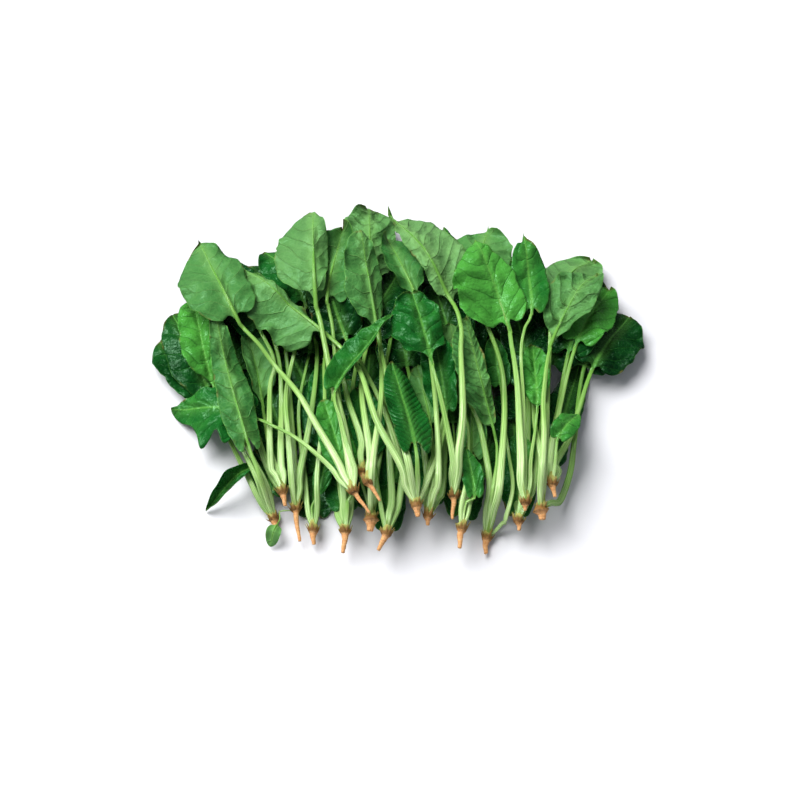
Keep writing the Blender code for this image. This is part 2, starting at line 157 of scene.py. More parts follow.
addPlant("f", (-33, -115), (12, -17), 1.9, 5, [
    leaf("f1", 8, [(-46, -88), (-63, -56), (-80, -24), (-106, 13)], (-131, 45), (-162, 119), 58, under=True,
         tone=0.38, roll=6, fold=(-8, -4), curl=(-20, -8), tipBend=4, ruffle=0.9, quilt=0.7, skew=0.1,
         hook=4),
    leaf("f2", 8, [(-37, -86), (-42, -58), (-49, -28), (-54, -3), (-60, 28)], (-65, 56), (-68, 134), 42,
         kind="blunt", under=True, tone=0.69, fold=(-14, -4), curl=(-30, -14), tipBend=-5, ruffle=1.3,
         thick=1.3, skew=0.42),
    leaf("f3", 7, [(-38, -86), (-46, -29), (-51, 28)], (-55, 60), (-44, 120), 40, kind="heart", under=True,
         tone=0.35, fold=(6, 10), tipBend=6, ruffle=2.2),
    leaf("f4", 9, [(-35, -90), (-43, -60)], (-46, -26), (-3, 30), 32, kind="pointed", tone=0.6, roll=-38,
         fold=(25, 40), curl=(10, 30), arch=2),
    leaf("f5", 6, [(-52, -90), (-77, -66), (-96, -52)], (-119, -40), (-180, -26), 44, kind="lobed", tone=0.45,
         fold=4, ruffle=1.5, thick=0.8),
])
addPlant("g", (-27, -97), (3, -9), 2.4, 3, [
    leaf("g1", 4, [(-28, -67), (-40, -25)], (-46, 26), (-30, 100), 48, tone=0.05),
    leaf("g2", 0, [(-26, -66)], (-26, -34), (-20, 52), 44, tone=0.05),
])
addPlant("h", (-22, -110), (9, -14), 2.0, 4, [
    leaf("h1", 4, [(-21, -82), (-28, -20)], (-20, 34), (8, 108), 50, tone=0.1, fold=(14, 20)),
])
addPlant("i", (-20, -130), (-1, -10), 4.6, 1, [
    leaf("i1", 6, [(-18, -90), (-12, -29), (-15, 40)], (-20, 74), (-23, 150), 42, kind="spoon", under=True,
         tone=0.66, fold=(-8, 6), tipBend=2, ruffle=1.3, quilt=2.8),
    leaf("i2", 1, [(-16, -90), (-6, -30)], (0, 30), (14, 112), 50, tone=0.1),
])
addPlant("j", (-8, -143), (-6, -13), 2.8, 1, [
    leaf("j1", 2, [(-4, -112), (-7, -60), (-10, -10)], (-4, 40), (-6, 124), 48, tone=0.2),
    leaf("j2", 1, [(2, -112), (8, -60)], (14, 10), (32, 90), 50, tone=0.1),
    leaf("j3", 2, [(-14, -112)], (-18, -84), (-30, -18), 30, kind="wedge", tone=0.4, fold=(8, 16), fine=True),
])
addPlant("k", (15, -124), (1, -9), 3.2, 4, [
    leaf("k1", 7, [(4, -100), (-16, -61), (-29, -14), (-44, 10)], (-66, 32), (-124, 88), 38, under=True,
         tone=0.65, roll=4, fold=(-30, -8), curl=(-30, -26), tipBend=6, ruffle=1.5, quilt=0.9, thick=1.2,
         skew=0.66),
    leaf("k2", 7, [(9, -98), (-2, -53), (-10, -7)], (-16, 28), (-29, 110), 32, kind="wedge", under=True,
         tone=0.42, fold=(-14, 8), curl=(-20, 8), tipBend=3, ruffle=1.1, quilt=1.4, thick=1.3, skew=0.3),
    leaf("k3", 7, [(16, -106)], (13, -78), (-4, -4), 32, kind="heart", tone=0.4, fold=(-6, 16),
         curl=(-24, 20), arch=2, ruffle=1.3, quilt=0.65, veins=0.34, variant=1),
    leaf("k4", 3, [(24, -98), (34, -62), (42, -20)], (50, 16), (50, 96), 48, tone=0.05),
    leaf("k5", 5, [(6, -96), (-10, -42), (-26, -6)], (-42, 28), (-62, 86), 42, tone=0.1),
    leaf("k6", 6, [(24, -104), (34, -74)], (38, -40), (28, 30), 34, tone=0.4, fold=(30, 8), curl=30,
         ruffle=1.8),
])
addPlant("l", (24, -129), (0, -7), 2.6, 1, [
    leaf("l1", 6, [(32, -102), (30, -40), (22, 20)], (14, 54), (-8, 114), 38, kind="wedge", under=True,
         tone=0.15, fold=(16, 30), curl=24, ruffle=1.6),
    leaf("l2", 4, [(28, -100)], (26, -52), (16, 0), 22, kind="narrow", under=True, tone=0.3, fold=15),
    leaf("l3", 1, [(36, -95)], (38, 20), (30, 106), 52, tone=0.05),
    leaf("l4", 1, [(24, -100), (18, -50)], (8, 4), (2, 84), 46, tone=0.05),
])
addPlant("m", (44, -113), (-1, -18), 2.2, 5, [
    leaf("m1", 9, [(48, -84), (51, -55), (50, -3), (50, 22)], (40, 53), (-8, 142), 42, kind="square",
         under=True, tone=0.9, roll=-6, fold=(-6, -22), curl=(-16, -24), tipBend=-5, ruffle=1.6, quilt=2.2,
         thick=1.15, skew=-0.5, hook=14, variant=2),
    leaf("m2", 7, [(43, -84), (34, -41), (28, -18)], (25, -2), (12, 52), 42, kind="square", tone=0.4,
         fold=(-2, 20), curl=(-12, 14), arch=2, ruffle=0.8, quilt=1.4, skew=0.2),
    leaf("m3", 6, [(48, -84), (54, 0)], (55, 64), (38, 134), 30, kind="pointed", tone=0.3, roll=-40),
])
addPlant("n", (50, -139), (-3, -15), 2.8, 1, [
    leaf("n1", 5, [(54, -100), (56, -60)], (52, -36), (42, 36), 28, kind="narrow", under=True, tone=0.7,
         fold=20, quilt=1.6),
    leaf("n2", 5, [(54, -118)], (60, -112), (54, -74), 17, kind="pointed", fold=12),
    leaf("n3", 1, [(57, -100)], (66, 14), (76, 98), 52, tone=0.05),
    leaf("n4", 3, [(58, -100)], (58, -72), (60, -22), 24, kind="heart", under=True, tone=0.35),
])
addPlant("o", (70, -136), (-1, -13), 2.8, 3, [
    leaf("o1", 6, [(75, -104), (78, -80)], (75, -54), (54, 34), 26, kind="narrow", under=True, tone=0.3,
         roll=-15, fold=(-12, 24), ruffle=1.4, quilt=2.4, veins=0.5, skew=0.45),
    leaf("o2", 5, [(84, -128), (90, -104), (88, -76), (84, -40)], (82, -12), (76, 26), 20, tone=0.3),
    leaf("o3", 6, [(80, -100), (84, -10)], (64, 58), (74, 126), 54, kind="square", under=True, fold=(12, 4),
         tipBend=6, ruffle=1.6, hook=6, variant=3),
    leaf("o4", 4, [(72, -100), (65, -54), (56, -30)], (46, 8), (30, 80), 46, tone=0.05),
])
addPlant("p", (99, -120), (1, -6), 2.2, 5, [
    leaf("p1", 9, [(96, -86), (95, -40), (94, -18), (91, 10)], (86, 38), (62, 102), 56, kind="pointed",
         tone=1.1, roll=4, fold=(6, 2), curl=(-12, 8), tipBend=5, ruffle=1.3, quilt=0.8, thick=1.1, skew=0.25,
         variant=4),
    leaf("p2", 8, [(99, -84), (99, -38), (98, 6), (101, 26)], (107, 46), (102, 116), 30, tone=0.55,
         fold=(-8, 6), quilt=0.7, hook=9),
    leaf("p3", 7, [(104, -84)], (110, -38), (108, 22), 24, kind="narrow", tone=0.8, fold=(16, 10), quilt=1.8),
    leaf("p4", 6, [(100, -104)], (101, -96), (101, -62), 10, kind="narrow", tone=0.9),
])
addPlant("q", (94, -130), (1, -7), 2.4, 1, [
    leaf("q1", 1, [(100, -94), (104, -30)], (104, 30), (98, 112), 52, tone=0.05),
    leaf("q2", 1, [(108, -92)], (122, 10), (138, 88), 52, tone=0.05),
    leaf("q3", 0, [(94, -100)], (94, -72), (90, 4), 34, tone=0.05),
])
addPlant("r", (111, -124), (1, -8), 4.6, 2, [
    leaf("r1", 6, [(116, -60), (121, 10)], (127, 56), (158, 110), 54, under=True, tone=0.72, roll=-10,
         fold=(-14, 4), curl=(-20, -8), tipBend=-6, ruffle=1.8, quilt=1.6),
    leaf("r2", 7, [(114, -70), (115, -30)], (125, 22), (158, 82), 46, kind="wedge", under=True, tone=0.55,
         roll=-14, fold=(20, 30), curl=(34, 16), tipBend=-6, ruffle=1.7, quilt=3.2),
    leaf("r3", 1, [(127, -108), (136, -84), (140, -56)], (150, 8), (178, 62), 46, tone=0.05),
])
addPlant("s", (120, -106), (2, -10), 2.5, 4, [
    leaf("s1", 3, [(124, -80), (135, -60), (144, -33)], (158, 8), (188, 58), 52, tone=0.05, fold=8,
         ruffle=1.5, fine=True),
    leaf("s2", 5, [(120, -78), (130, -27)], (145, 26), (172, 78), 42, tone=0.85, fold=(26, 12), curl=12,
         ruffle=1.5),
    leaf("s3", 4, [(119, -78), (126, -40)], (138, 20), (162, 96), 46, tone=0.1),
    leaf("s4", 6, [(123, -84)], (126, -68), (143, -42), 20, kind="pointed", tone=0.7, fold=20),
    leaf("s5", 4, [(112, -78), (108, -50)], (106, -10), (96, 54), 42, tone=0.05),
    leaf("s6", 0, [(124, -80)], (128, -52), (148, 20), 28, tone=0.1),
])
print("plants:", len(plants), "with", sum(len(plant["leaves"]) for plant in plants), "leaves")


def smoothStep(x):
    x = np.clip(x, 0, 1)
    return x * x * (3 - 2 * x)


def curveThrough(points, steps=12):
    # Catmull-Rom through plan points; returns the curve and how many steps each stretch has
    p = np.array(points, float)
    p = np.vstack([2 * p[0] - p[1], p, 2 * p[-1] - p[-2]])
    t = np.linspace(0, 1, steps, endpoint=False)[:, None]
    runs = []
    for a, b, c, d in zip(p, p[1:], p[2:], p[3:]):
        runs.append(b + 0.5 * t * (c - a + t * (2 * a - 5 * b + 4 * c - d + t * (3 * (b - c) + d - a))))
    return np.vstack(runs + [p[-2:-1]]), steps


def stacked(*values):
    # single values or grids, as the last coordinate of one array
    return np.stack(np.broadcast_arrays(*values), axis=-1)


def anglesRound(sides):
    return np.linspace(0, 2 * math.pi, sides, endpoint=False)


def along(curve):
    return np.concatenate([[0], np.cumsum(np.linalg.norm(np.diff(curve, axis=0), axis=1))])


def placeOn(curve, arc, at, near=2.5):
    # places along a curve and its direction there, from what lies near to both sides
    before, spots, after = (np.stack([np.interp(where, arc, curve[:, k]) for k in (0, 1)], axis=1)
                            for where in (at - near, at, at + near))
    ahead = after - before
    return spots, ahead / np.linalg.norm(ahead, axis=1, keepdims=True)


def waves(x, y, seed, longest, shortest, count):
    # smooth bumps: a few plane waves with directions and phases from the seed
    dice = np.random.default_rng(seed)
    total = np.zeros(np.broadcast(x, y).shape)
    for length in np.linspace(longest, shortest, count):
        turn, shift = dice.uniform(0, 2 * math.pi, 2)
        total += np.sin((x * math.cos(turn) + y * math.sin(turn)) * 2 * math.pi / length + shift)
    return total / math.sqrt(count / 2)


stalk = dict(
    radius=2.75,        # where it is thickest, a little above the crown
    atBlade=0.5,        # the share of it left at the blade
    atCrown=0.6,        # and at the crown
    crownTaper=9.0,
    flatness=0.9,
    sides=24,
    step=3.0,           # between rings
    groove=0.26, grooveWidth=0.5,   # its width in radians round the stalk
    ribs=0.07, ribCount=8,
    spacing=1.6,        # between a plant's stalks where they leave the crown
    start=15.0,         # how far from the crown that is
    layers=4.2,         # from a plant's lowest stalk to its highest, at the crown
)


def stalkDirections(plant):
    return [np.array(one["via"][0], float) - plant["crown"] for one in plant["leaves"] if not one["inner"]]


def heading(plant):
    ahead = sum(stalkDirections(plant))
    return ahead / np.linalg.norm(ahead)


def sheathPoint(plant, one):
    # a plant's stalks stand side by side, in their order, where they leave the crown
    ahead = heading(plant)
    side = np.array([-ahead[1], ahead[0]])
    bearings = sorted(toward @ side for toward in stalkDirections(plant))
    toward = np.array(one["via"][0], float) - plant["crown"]
    rank = 0 if one["inner"] else bearings.index(toward @ side) - (len(bearings) - 1) / 2
    toward /= np.linalg.norm(toward)
    out = (toward * 0.7 + ahead * 0.3) * stalk["start"]
    return np.array(plant["crown"]) + out + side * stalk["spacing"] * rank


heap = dict(
    cell=1.5,           # of the height map that the leaves are laid on
    half=(240.0, 190.0),    # half of its width and of its depth
    gap=0.15,           # between a leaf and what it lies on
    slope=0.6,          # the steepest that a blade follows what is under it
    stiffness=8.0,      # the radius over which it bridges bumps
    stalkSlope=0.3,     # a stalk follows less and bridges more
    stalkStiffness=18.0,
    clearOfCrown=24.0,  # up to here a stalk is held by its crown
    deepestDip=8.0,     # that a wave makes use of
)

heights = np.zeros([round(2 * half / heap["cell"]) for half in heap["half"]])


def cellsUnder(x, y):
    return tuple(((place + half) / heap["cell"]).astype(int) for place, half in zip((x, y), heap["half"]))


def highestAround(grid, mode="constant"):
    padded = np.pad(grid, 1, mode=mode)
    rows, columns = grid.shape
    return np.max([padded[i:i + rows, j:j + columns] for i in range(3) for j in range(3)], axis=0)


def drape(need, side, arc, stem):
    # the lowest smooth rise over a leaf that is nowhere under what is needed; stem marks the stalk's points
    apart = np.hypot(side[:, None] - side, arc[:, None] - arc)
    slope = np.where(stem[:, None] | stem, heap["stalkSlope"], heap["slope"])
    steep = (need - slope * apart).max(axis=1)
    radius = np.where(stem[:, None] & stem, heap["stalkStiffness"], heap["stiffness"])
    near = np.clip(1 - (apart / radius) ** 2, 0, 1) ** 2
    highest = np.where(near > 0, steep, -np.inf).max(axis=1)
    return near @ highest / near.sum(axis=1)


def refined(coarse, rows, columns):
    # a grid of every second row and column, filled in between
    full = np.stack([np.interp(np.arange(rows), np.arange(0, rows, 2), line) for line in coarse.T], axis=1)
    return np.stack([np.interp(np.arange(columns), np.arange(0, columns, 2), line) for line in full])


def needed(x, y, low, arc):
    need = highestAround(heights)[cellsUnder(x, y)] + heap["gap"] - low
    return np.where(arc < heap["clearOfCrown"], -1e3, need)


def settle(stem, sheet, side, wavy):
    # lays a leaf on the heap, lifted as little as it needs: stem and sheet are (x, y, low, high, arc) of its
    # stalk and its blade, side the blade's own sideways places, wavy its waves; returns both lifts
    stemNeed = needed(*stem[:3], stem[4]).max(axis=1)
    rows, columns = sheet[0].shape
    sheetNeed = highestAround(needed(*sheet[:3], sheet[4]), "edge")[::2, ::2]
    need = np.concatenate([stemNeed, sheetNeed.ravel()])
    sides = np.concatenate([0 * stemNeed, side[::2, ::2].ravel()])
    arcs = np.concatenate([stem[4][:, 0], sheet[4][::2, ::2].ravel()])
    lift = drape(need, sides, arcs, np.arange(len(need)) < len(stemNeed))
    stemLift = lift[:len(stemNeed)]
    sheetLift = lift[len(stemNeed):].reshape(sheetNeed.shape)
    # waves dip no further than there is room below
    room = -highestAround(sheetNeed - sheetLift, "edge")
    room = refined(np.minimum(room, heap["deepestDip"]), rows, columns) + 0.05
    dip = np.where(wavy < 0, -room * (1 - np.exp(wavy / room)), wavy)
    sheetLift = refined(sheetLift, rows, columns) + dip
    for (x, y, _, high, arc), up in ((stem, stemLift[:, None]), (sheet, sheetLift)):
        laid = arc > stalk["start"]
        np.maximum.at(heights, cellsUnder(x[laid], y[laid]), (high + up)[laid])
    return stemLift, sheetLift


root = dict(
    crown=5.2, sheath=17.0, sheathHalfWidth=6.0, sheathHalfHeight=4.4,
    sides=26, rows=44,
    scales=9,           # stubs of old stalks
    scaleGrid=(5, 8),
    scaleReach=(3.5, 7.5),
    scaleLean=(0.1, 0.6),
    scaleWidth=(0.6, 1.1),
    bend=0.5, bendWaves=(40, 18, 3),
    rough=0.05, roughWaves=(9, 3, 6),
    rings=0.025,
    ringPace=3.1,       # radians for each millimetre along the root
    neck=10.0,          # how far it reaches up between the stalks
)


def layCrown(plant):
    # the root, crown and sheath lie on the heap as one stiff piece; returns the height of their axis
    crown = np.array(plant["crown"], float)
    end = np.array(plant["root"], float)
    length = np.linalg.norm(end)
    ahead = heading(plant)
    girth = plant["girth"]
    profile = [(-length, girth * 0.75, girth * 0.75), (-length * 0.4, girth, girth),
               (-2.5, girth * 1.15, girth * 1.15), (0, root["crown"] * 0.8, root["crown"] * 0.75),
               (3.5, root["crown"], root["crown"] * 0.85), (9, root["crown"], root["sheathHalfHeight"]),
               (root["sheath"], root["sheathHalfWidth"], root["sheathHalfHeight"])]
    at = np.linspace(-length, root["sheath"], 30)
    halfWidth = np.interp(at, [row[0] for row in profile], [row[1] for row in profile])[:, None]
    halfHeight = np.interp(at, [row[0] for row in profile], [row[2] for row in profile])[:, None]
    spot = np.where(at[:, None] < 0, crown - end * at[:, None] / length, crown + ahead * at[:, None])
    side = np.where(at[:, None] < -3, [end[1], -end[0]] / length, [-ahead[1], ahead[0]])
    across = np.linspace(-1, 1, 9)
    x = spot[:, :1] + side[:, :1] * halfWidth * across
    y = spot[:, 1:] + side[:, 1:] * halfWidth * across
    thick = halfHeight * np.sqrt(1 - across ** 2)
    axis = (highestAround(heights)[cellsUnder(x, y)] + heap["gap"] + thick).max()
    np.maximum.at(heights, cellsUnder(x, y), axis + thick)
    return axis


# waves are a height, and next to it the longest wave, the shortest and how many there are
blade = dict(
    grid=(51, 37),
    innerGrid=(35, 25),
    fullWidth=46.0,     # narrower ones have smaller waves and thinner stalks
    thickness=0.42,
    rimSoftness=1.2,
    wing=13.0,          # how far the blade runs down the stalk
    hookHalfWidth=2.2,  # of a drawn-out tip
    rollRun=30.0,       # the length of stalk over which a leaf rolls
    pressed=0.35,       # the share of its waves that a leaf at the bottom of the heap keeps
    bumps=0.9, bumpWaves=(34, 12, 9),
    curlDrift=0.28, curlWaves=(110, 45, 3),
    uneven=0.035, unevenWaves=(60, 24, 4),
    nicks=0.02, nickWaves=(15, 7, 5),
    patternStep=3.7,    # between the patterns of two seeds
    veinSpacing=14.0,
    veinDrift=0.2, veinWaves=(80, 34, 3),
    veinLean=0.66,      # how far forward a side vein runs for each millimetre outward
    veinBend=0.008,     # and how much more further out
    veinShift=0.22,     # of one half's veins forward and the other's back, as a share of their spacing
    quilt=0.7,          # how far the tissue stands up between the side veins
    midrib=1.3, midribEnd=0.22,
    midribProud=0.7,    # the share of its radius by which it is below the blade's middle
    midribFlatness=0.8,
)

# across each half of a blade, growing towards its margin: the frill, the ruffles and the broad waves
marginWaves = (
    dict(height=0.9, growth=10, lengths=(20, 9, 4), draw=6),
    dict(height=2.5, growth=3, lengths=(36, 15, 4), draw=5),
    dict(height=3.4, growth=1.4, lengths=(75, 38, 3), draw=0),
)

# of a lobed leaf's left half: how far each stands out or in, where it is along the blade, and how long
lobes = ((0.55, 0.17, 0.07), (0.6, 0.47, 0.08), (-0.2, 0.68, 0.08))

# share of the half width at the base, where the blade is widest, how it closes towards the tip, and how far
# its lobes reach back, as a share of its length (a negative one makes a wedge)
bladeKinds = dict(
    broad=dict(base=0.42, widest=0.34, fullness=2.3, roundness=0.6, lobe=0.09),
    heart=dict(base=0.55, widest=0.26, fullness=2.2, roundness=0.62, lobe=0.17),
    wedge=dict(base=0.12, widest=0.48, fullness=2.5, roundness=0.6, lobe=-0.08),
    square=dict(base=0.62, widest=0.3, fullness=3.2, roundness=0.55, lobe=-0.02),
    spoon=dict(base=0.15, widest=0.62, fullness=3.4, roundness=0.5, lobe=-0.02),
    blunt=dict(base=0.4, widest=0.45, fullness=5.0, roundness=0.5, lobe=0.0),
    pointed=dict(base=0.42, widest=0.3, fullness=1.7, roundness=0.8, lobe=0.12),
    narrow=dict(base=0.1, widest=0.5, fullness=2.2, roundness=0.75, lobe=0.0),
    lobed=dict(base=0.6, widest=0.2, fullness=1.7, roundness=0.85, lobe=0.1),
)


def bladeHalfWidth(u, kind):
    style = bladeKinds[kind]
    grown = np.clip(u / style["widest"], 0, 1)
    width = style["base"] + (1 - style["base"]) * np.sqrt(1 - (1 - grown) ** 2)
    beyond = np.clip((u - style["widest"]) / (1 - style["widest"]), 0, 1)
    return width * (1 - beyond ** style["fullness"]) ** style["roundness"]


def veinPhase(side, forward, spacing, seed):
    # whole numbers where a side vein runs; veins leave the midrib forward and bend towards the tip
    reach = np.abs(side)
    drift = blade["veinDrift"] * waves(side, forward, seed + 9, *blade["veinWaves"])
    drift = drift + blade["veinShift"] * np.tanh(side / 3)
    straight = forward - blade["veinLean"] * reach - blade["veinBend"] * reach ** 2
    return straight / spacing + drift * smoothStep(reach / 8)


def halfWidths(one, u, v, along1, length, seed):
    # of both halves along the blade, with an uneven margin
    body = 1 - one["hook"] / length
    half = one["width"] / 2 * bladeHalfWidth(np.minimum(u / body, 1), one["kind"])
    if one["hook"]:
        half = np.maximum(half, blade["hookHalfWidth"] * (1 - u) / (1.02 - body) * smoothStep(u * 2))
    nicks = blade["nicks"] * waves(along1, 0 * u, seed, *blade["nickWaves"])
    right, left = (1 + (blade["uneven"] * waves(along1, 0 * u, seed + hand, *blade["unevenWaves"]) + nicks)
                   * smoothStep(u * 8) for hand in (1, 2))
    if one["kind"] == "lobed":
        outline = 1.1
        for out, at, span in lobes:
            outline = outline + out * np.exp(-((u - at) / span) ** 2)
        left = left * outline
    right = (half * right)[:, None] * (1 - one["skew"])
    return np.where(v < 0, right, (half * left)[:, None] * (1 + one["skew"]))


def bladeWaves(one, u, v, side, forward, phase, size, seed):
    # broad waves, ruffled margins and bumps; the tissue swells between the side veins on the upper side
    reach = np.abs(v)[None, :]
    wavy = 0 * side
    for hand, here in ((10, v < 0), (20, v >= 0)):
        total = 0
        for wave in marginWaves:
            rise = waves(forward, 0 * forward, seed + hand + wave["draw"], *wave["lengths"])
            total = total + rise * reach ** wave["growth"] * wave["height"]
        wavy = wavy + np.where(here, total, 0) * one["ruffle"] * size * smoothStep(u * 5)[:, None]
    offMidrib = smoothStep(np.abs(side) / 5)
    bumps = waves(side, forward, seed + 5, *blade["bumpWaves"]) * blade["bumps"]
    wavy = wavy + bumps * one["quilt"] * offMidrib
    swell = np.abs(np.sin(math.pi * phase)) ** 0.8 * offMidrib
    return wavy + (-1 if one["under"] else 1) * swell * blade["quilt"] * one["quilt"] * (1 - reach ** 8)


def bladeSurface(one, curve, arc, baseAt, seed):
    # the blade's middle surface before it settles, and its own coordinates
    rows, columns = blade["grid"] if one["fine"] else blade["innerGrid"]
    # rows lie closer at both ends and columns at the midrib, and the last row stops short of the tip
    t = np.linspace(0, 1, rows)
    u = 0.998 * (0.45 * t + 0.55 * (1 - np.cos(math.pi * t)) / 2)
    v = np.linspace(-1, 1, columns)
    v = np.sign(v) * (0.75 * np.abs(v) + 0.25 * v ** 2)
    reach = np.abs(v)[None, :]
    length = arc[-1] - baseAt
    along1 = u * length
    # the leaves inside the heap are pressed flat
    pressed = blade["pressed"] + (1 - blade["pressed"]) * smoothStep((one["tier"] - 1) / 5)
    size = min(1.15, one["width"] * (1 + abs(one["skew"])) / blade["fullWidth"]) * pressed
    half = halfWidths(one, u, v, along1, length, seed)
    # a blade is folded less at its base
    fold = np.radians(np.where(v < 0, *one["fold"])) * (0.6 + 0.4 * smoothStep(u * 5))[:, None]
    drift = blade["curlDrift"] * size * waves(along1, 0 * u, seed + 3, *blade["curlWaves"])[:, None]
    curl = np.radians(np.where(v < 0, *one["curl"])) + drift + 1e-4
    sideways = half * np.sign(v) * (np.sin(fold + curl * reach) - np.sin(fold)) / curl
    up = half * (np.cos(fold) - np.cos(fold + curl * reach)) / curl
    lobe = bladeKinds[one["kind"]]["lobe"]
    back = lobe * length * np.clip(1 - u / 0.45, 0, 1)[:, None] ** 2 * smoothStep(reach)
    back = back + blade["wing"] * size * np.clip(1 - u / 0.3, 0, 1)[:, None] ** 2 * np.exp(-reach / 0.16)
    side, forward = half * v, along1[:, None] - back
    phase = veinPhase(side, forward, blade["veinSpacing"] * one["veins"], seed)
    wavy = bladeWaves(one, u, v, side, forward, phase, size, seed)
    up = up + (one["arch"] * np.sin(math.pi * u) + one["tipBend"] * smoothStep((u - 0.55) * 2))[:, None]
    spots, ahead = placeOn(curve, arc, baseAt + along1)
    turn = rollAt(one, along1)
    left = np.stack([-ahead[:, 1] * np.cos(turn), ahead[:, 0] * np.cos(turn), np.sin(turn)], axis=1)
    rise = np.stack([ahead[:, 1] * np.sin(turn), -ahead[:, 0] * np.sin(turn), np.cos(turn)], axis=1)
    points = left[:, None, :] * sideways[..., None] + rise[:, None, :] * up[..., None]
    points[..., :2] += spots[:, None, :] - ahead[:, None, :] * back[..., None]
    rim = np.minimum(half * (1 - reach), np.maximum(forward - forward[:1], 0) + np.abs(side) * 0.1)
    return dict(points=points, u=u, v=v, side=side, forward=forward, rim=rim, rise=rise, length=length,
                arc=baseAt + forward, turn=turn, wavy=wavy, phase=phase)


def rollAt(one, fromBase):
    # a leaf's roll comes in along the last of its stalk
    run = blade["rollRun"]
    return math.radians(one["roll"]) * smoothStep((fromBase + run) / run)


def layLeaf(one, plant, seed):
    # a whole leaf, settled: the stalk's centre line with its radii, and the blade's middle surface
    route = [plant["crown"], sheathPoint(plant, one), *one["via"], one["base"], one["tip"]]
    curve, steps = curveThrough(route)
    arc = along(curve)
    baseAt = arc[steps * (len(one["via"]) + 2)]
    made = bladeSurface(one, curve, arc, baseAt, seed)
    # wider blades have thicker stalks
    size = one["thick"] * min(1.05, max(0.5, 0.35 + 0.65 * one["width"] / blade["fullWidth"]))
    wing = baseAt - made["arc"][0, len(made["v"]) // 2]
    rings = max(6, round(baseAt / stalk["step"]))
    stalkAt = np.linspace(0.5, baseAt - wing, rings)
    radius = stalk["radius"] * size * (1 - (1 - stalk["atBlade"]) * smoothStep(stalkAt / baseAt))
    radius = radius * (1 - (1 - stalk["atCrown"]) * np.exp(-(stalkAt / stalk["crownTaper"]) ** 2))
    spots, ahead = placeOn(curve, arc, stalkAt)
    across = np.linspace(-1, 1, 5)
    x = spots[:, :1] - ahead[:, 1:] * radius[:, None] * across
    y = spots[:, 1:] + ahead[:, :1] * radius[:, None] * across
    thick = radius[:, None] * np.sqrt(1.05 - across ** 2)
    rib = blade["midrib"] * size * (1 - made["u"]) ** 2 + blade["midribEnd"]
    blades = np.where(np.abs(made["side"]) < rib[:, None], rib[:, None], blade["thickness"] / 2)
    points = made["points"]
    stem = (x, y, -thick, thick, np.repeat(stalkAt[:, None], 5, axis=1))
    sheet = (points[..., 0], points[..., 1], points[..., 2] - blades, points[..., 2] + blades, made["arc"])
    stemLift, sheetLift = settle(stem, sheet, made["side"], made["wavy"])
    points[..., 2] += sheetLift
    rank = sorted(other["tier"] for other in plant["leaves"]).index(one["tier"])
    layer = stalk["layers"] * rank / max(1, len(plant["leaves"]) - 1) - stalk["layers"] / 2
    line = np.column_stack([spots, stemLift])
    made.update(line=line, lineArc=stalkAt, layer=layer, radius=radius, rib=rib, baseAt=baseAt)
    return made


def joinCrown(made, axis):
    # the stalk leaves the crown's own axis and rises to where it rests
    leaves = smoothStep((made["lineArc"] - 1) / (heap["clearOfCrown"] + 6))
    made["line"][:, 2] = (axis + made["layer"]) * (1 - leaves) + made["line"][:, 2] * leaves


def gridFaces(rows, columns, closed=False, flip=False):
    index = np.arange(rows * columns).reshape(rows, columns)
    if closed:
        index = np.hstack([index, index[:, :1]])
    a, b, c, d = index[:-1, :-1], index[:-1, 1:], index[1:, 1:], index[1:, :-1]
    quads = np.stack([a, d, c, b] if flip else [a, b, c, d], axis=-1)
    return quads.reshape(-1, 4).tolist()


def tubeFaces(rows, sides):
    # with both ends closed
    ends = [tuple(range(sides))[::-1], tuple(range((rows - 1) * sides, rows * sides))]
    return gridFaces(rows, sides, closed=True) + ends


def normalsOf(points):
    normal = np.cross(np.gradient(points, axis=1), np.gradient(points, axis=0))
    return normal / np.maximum(np.linalg.norm(normal, axis=-1, keepdims=True), 1e-9)


class Mesh:
    # points, faces and per-point values of one piece, gathered part by part

    def __init__(self):
        self.points, self.faces, self.slots, self.place, self.look, self.vein = [], [], [], [], [], []
        self.count = 0

    def add(self, points, faces, slot, place, look, vein=np.zeros(3)):
        points = points.reshape(-1, 3)
        self.join([tuple(k + self.count for k in face) for face in faces], slot)
        self.points.append(points)
        for kept, values in ((self.place, place), (self.look, look), (self.vein, vein)):
            one = np.ndim(values) == 1
            kept.append(np.broadcast_to(values, points.shape) if one else values.reshape(-1, 3))
        self.count += len(points)

    def join(self, faces, slot):
        # faces between points that are there already
        self.faces += faces
        self.slots += [slot] * len(faces)

    def build(self, name, materials):
        mesh = bpy.data.meshes.new(name)
        mesh.from_pydata((np.vstack(self.points) * mm).tolist(), [], self.faces)
        for material in materials:
            mesh.materials.append(material)
        mesh.polygons.foreach_set("material_index", self.slots)
        for key, values in (("place", self.place), ("look", self.look), ("vein", self.vein)):
            attribute = mesh.attributes.new(key, "FLOAT_VECTOR", "POINT")
            attribute.data.foreach_set("vector", np.vstack(values).astype(np.float32).ravel())
        mesh.update()
        mesh.shade_smooth()
        piece = bpy.data.objects.new(name, mesh)
        bpy.context.collection.objects.link(piece)
        return piece


def directions(line):
    # ahead, sideways and up at each point of a line
    ahead = np.gradient(line, axis=0)
    ahead /= np.linalg.norm(ahead, axis=1, keepdims=True)
    side = np.cross([0, 0, 1], ahead)
    side /= np.linalg.norm(side, axis=1, keepdims=True)
    return ahead, side, np.cross(ahead, side)


def ringsRound(line, side, up, wide, thick):
    return line[:, None, :] + side[:, None, :] * wide[..., None] + up[:, None, :] * thick[..., None]


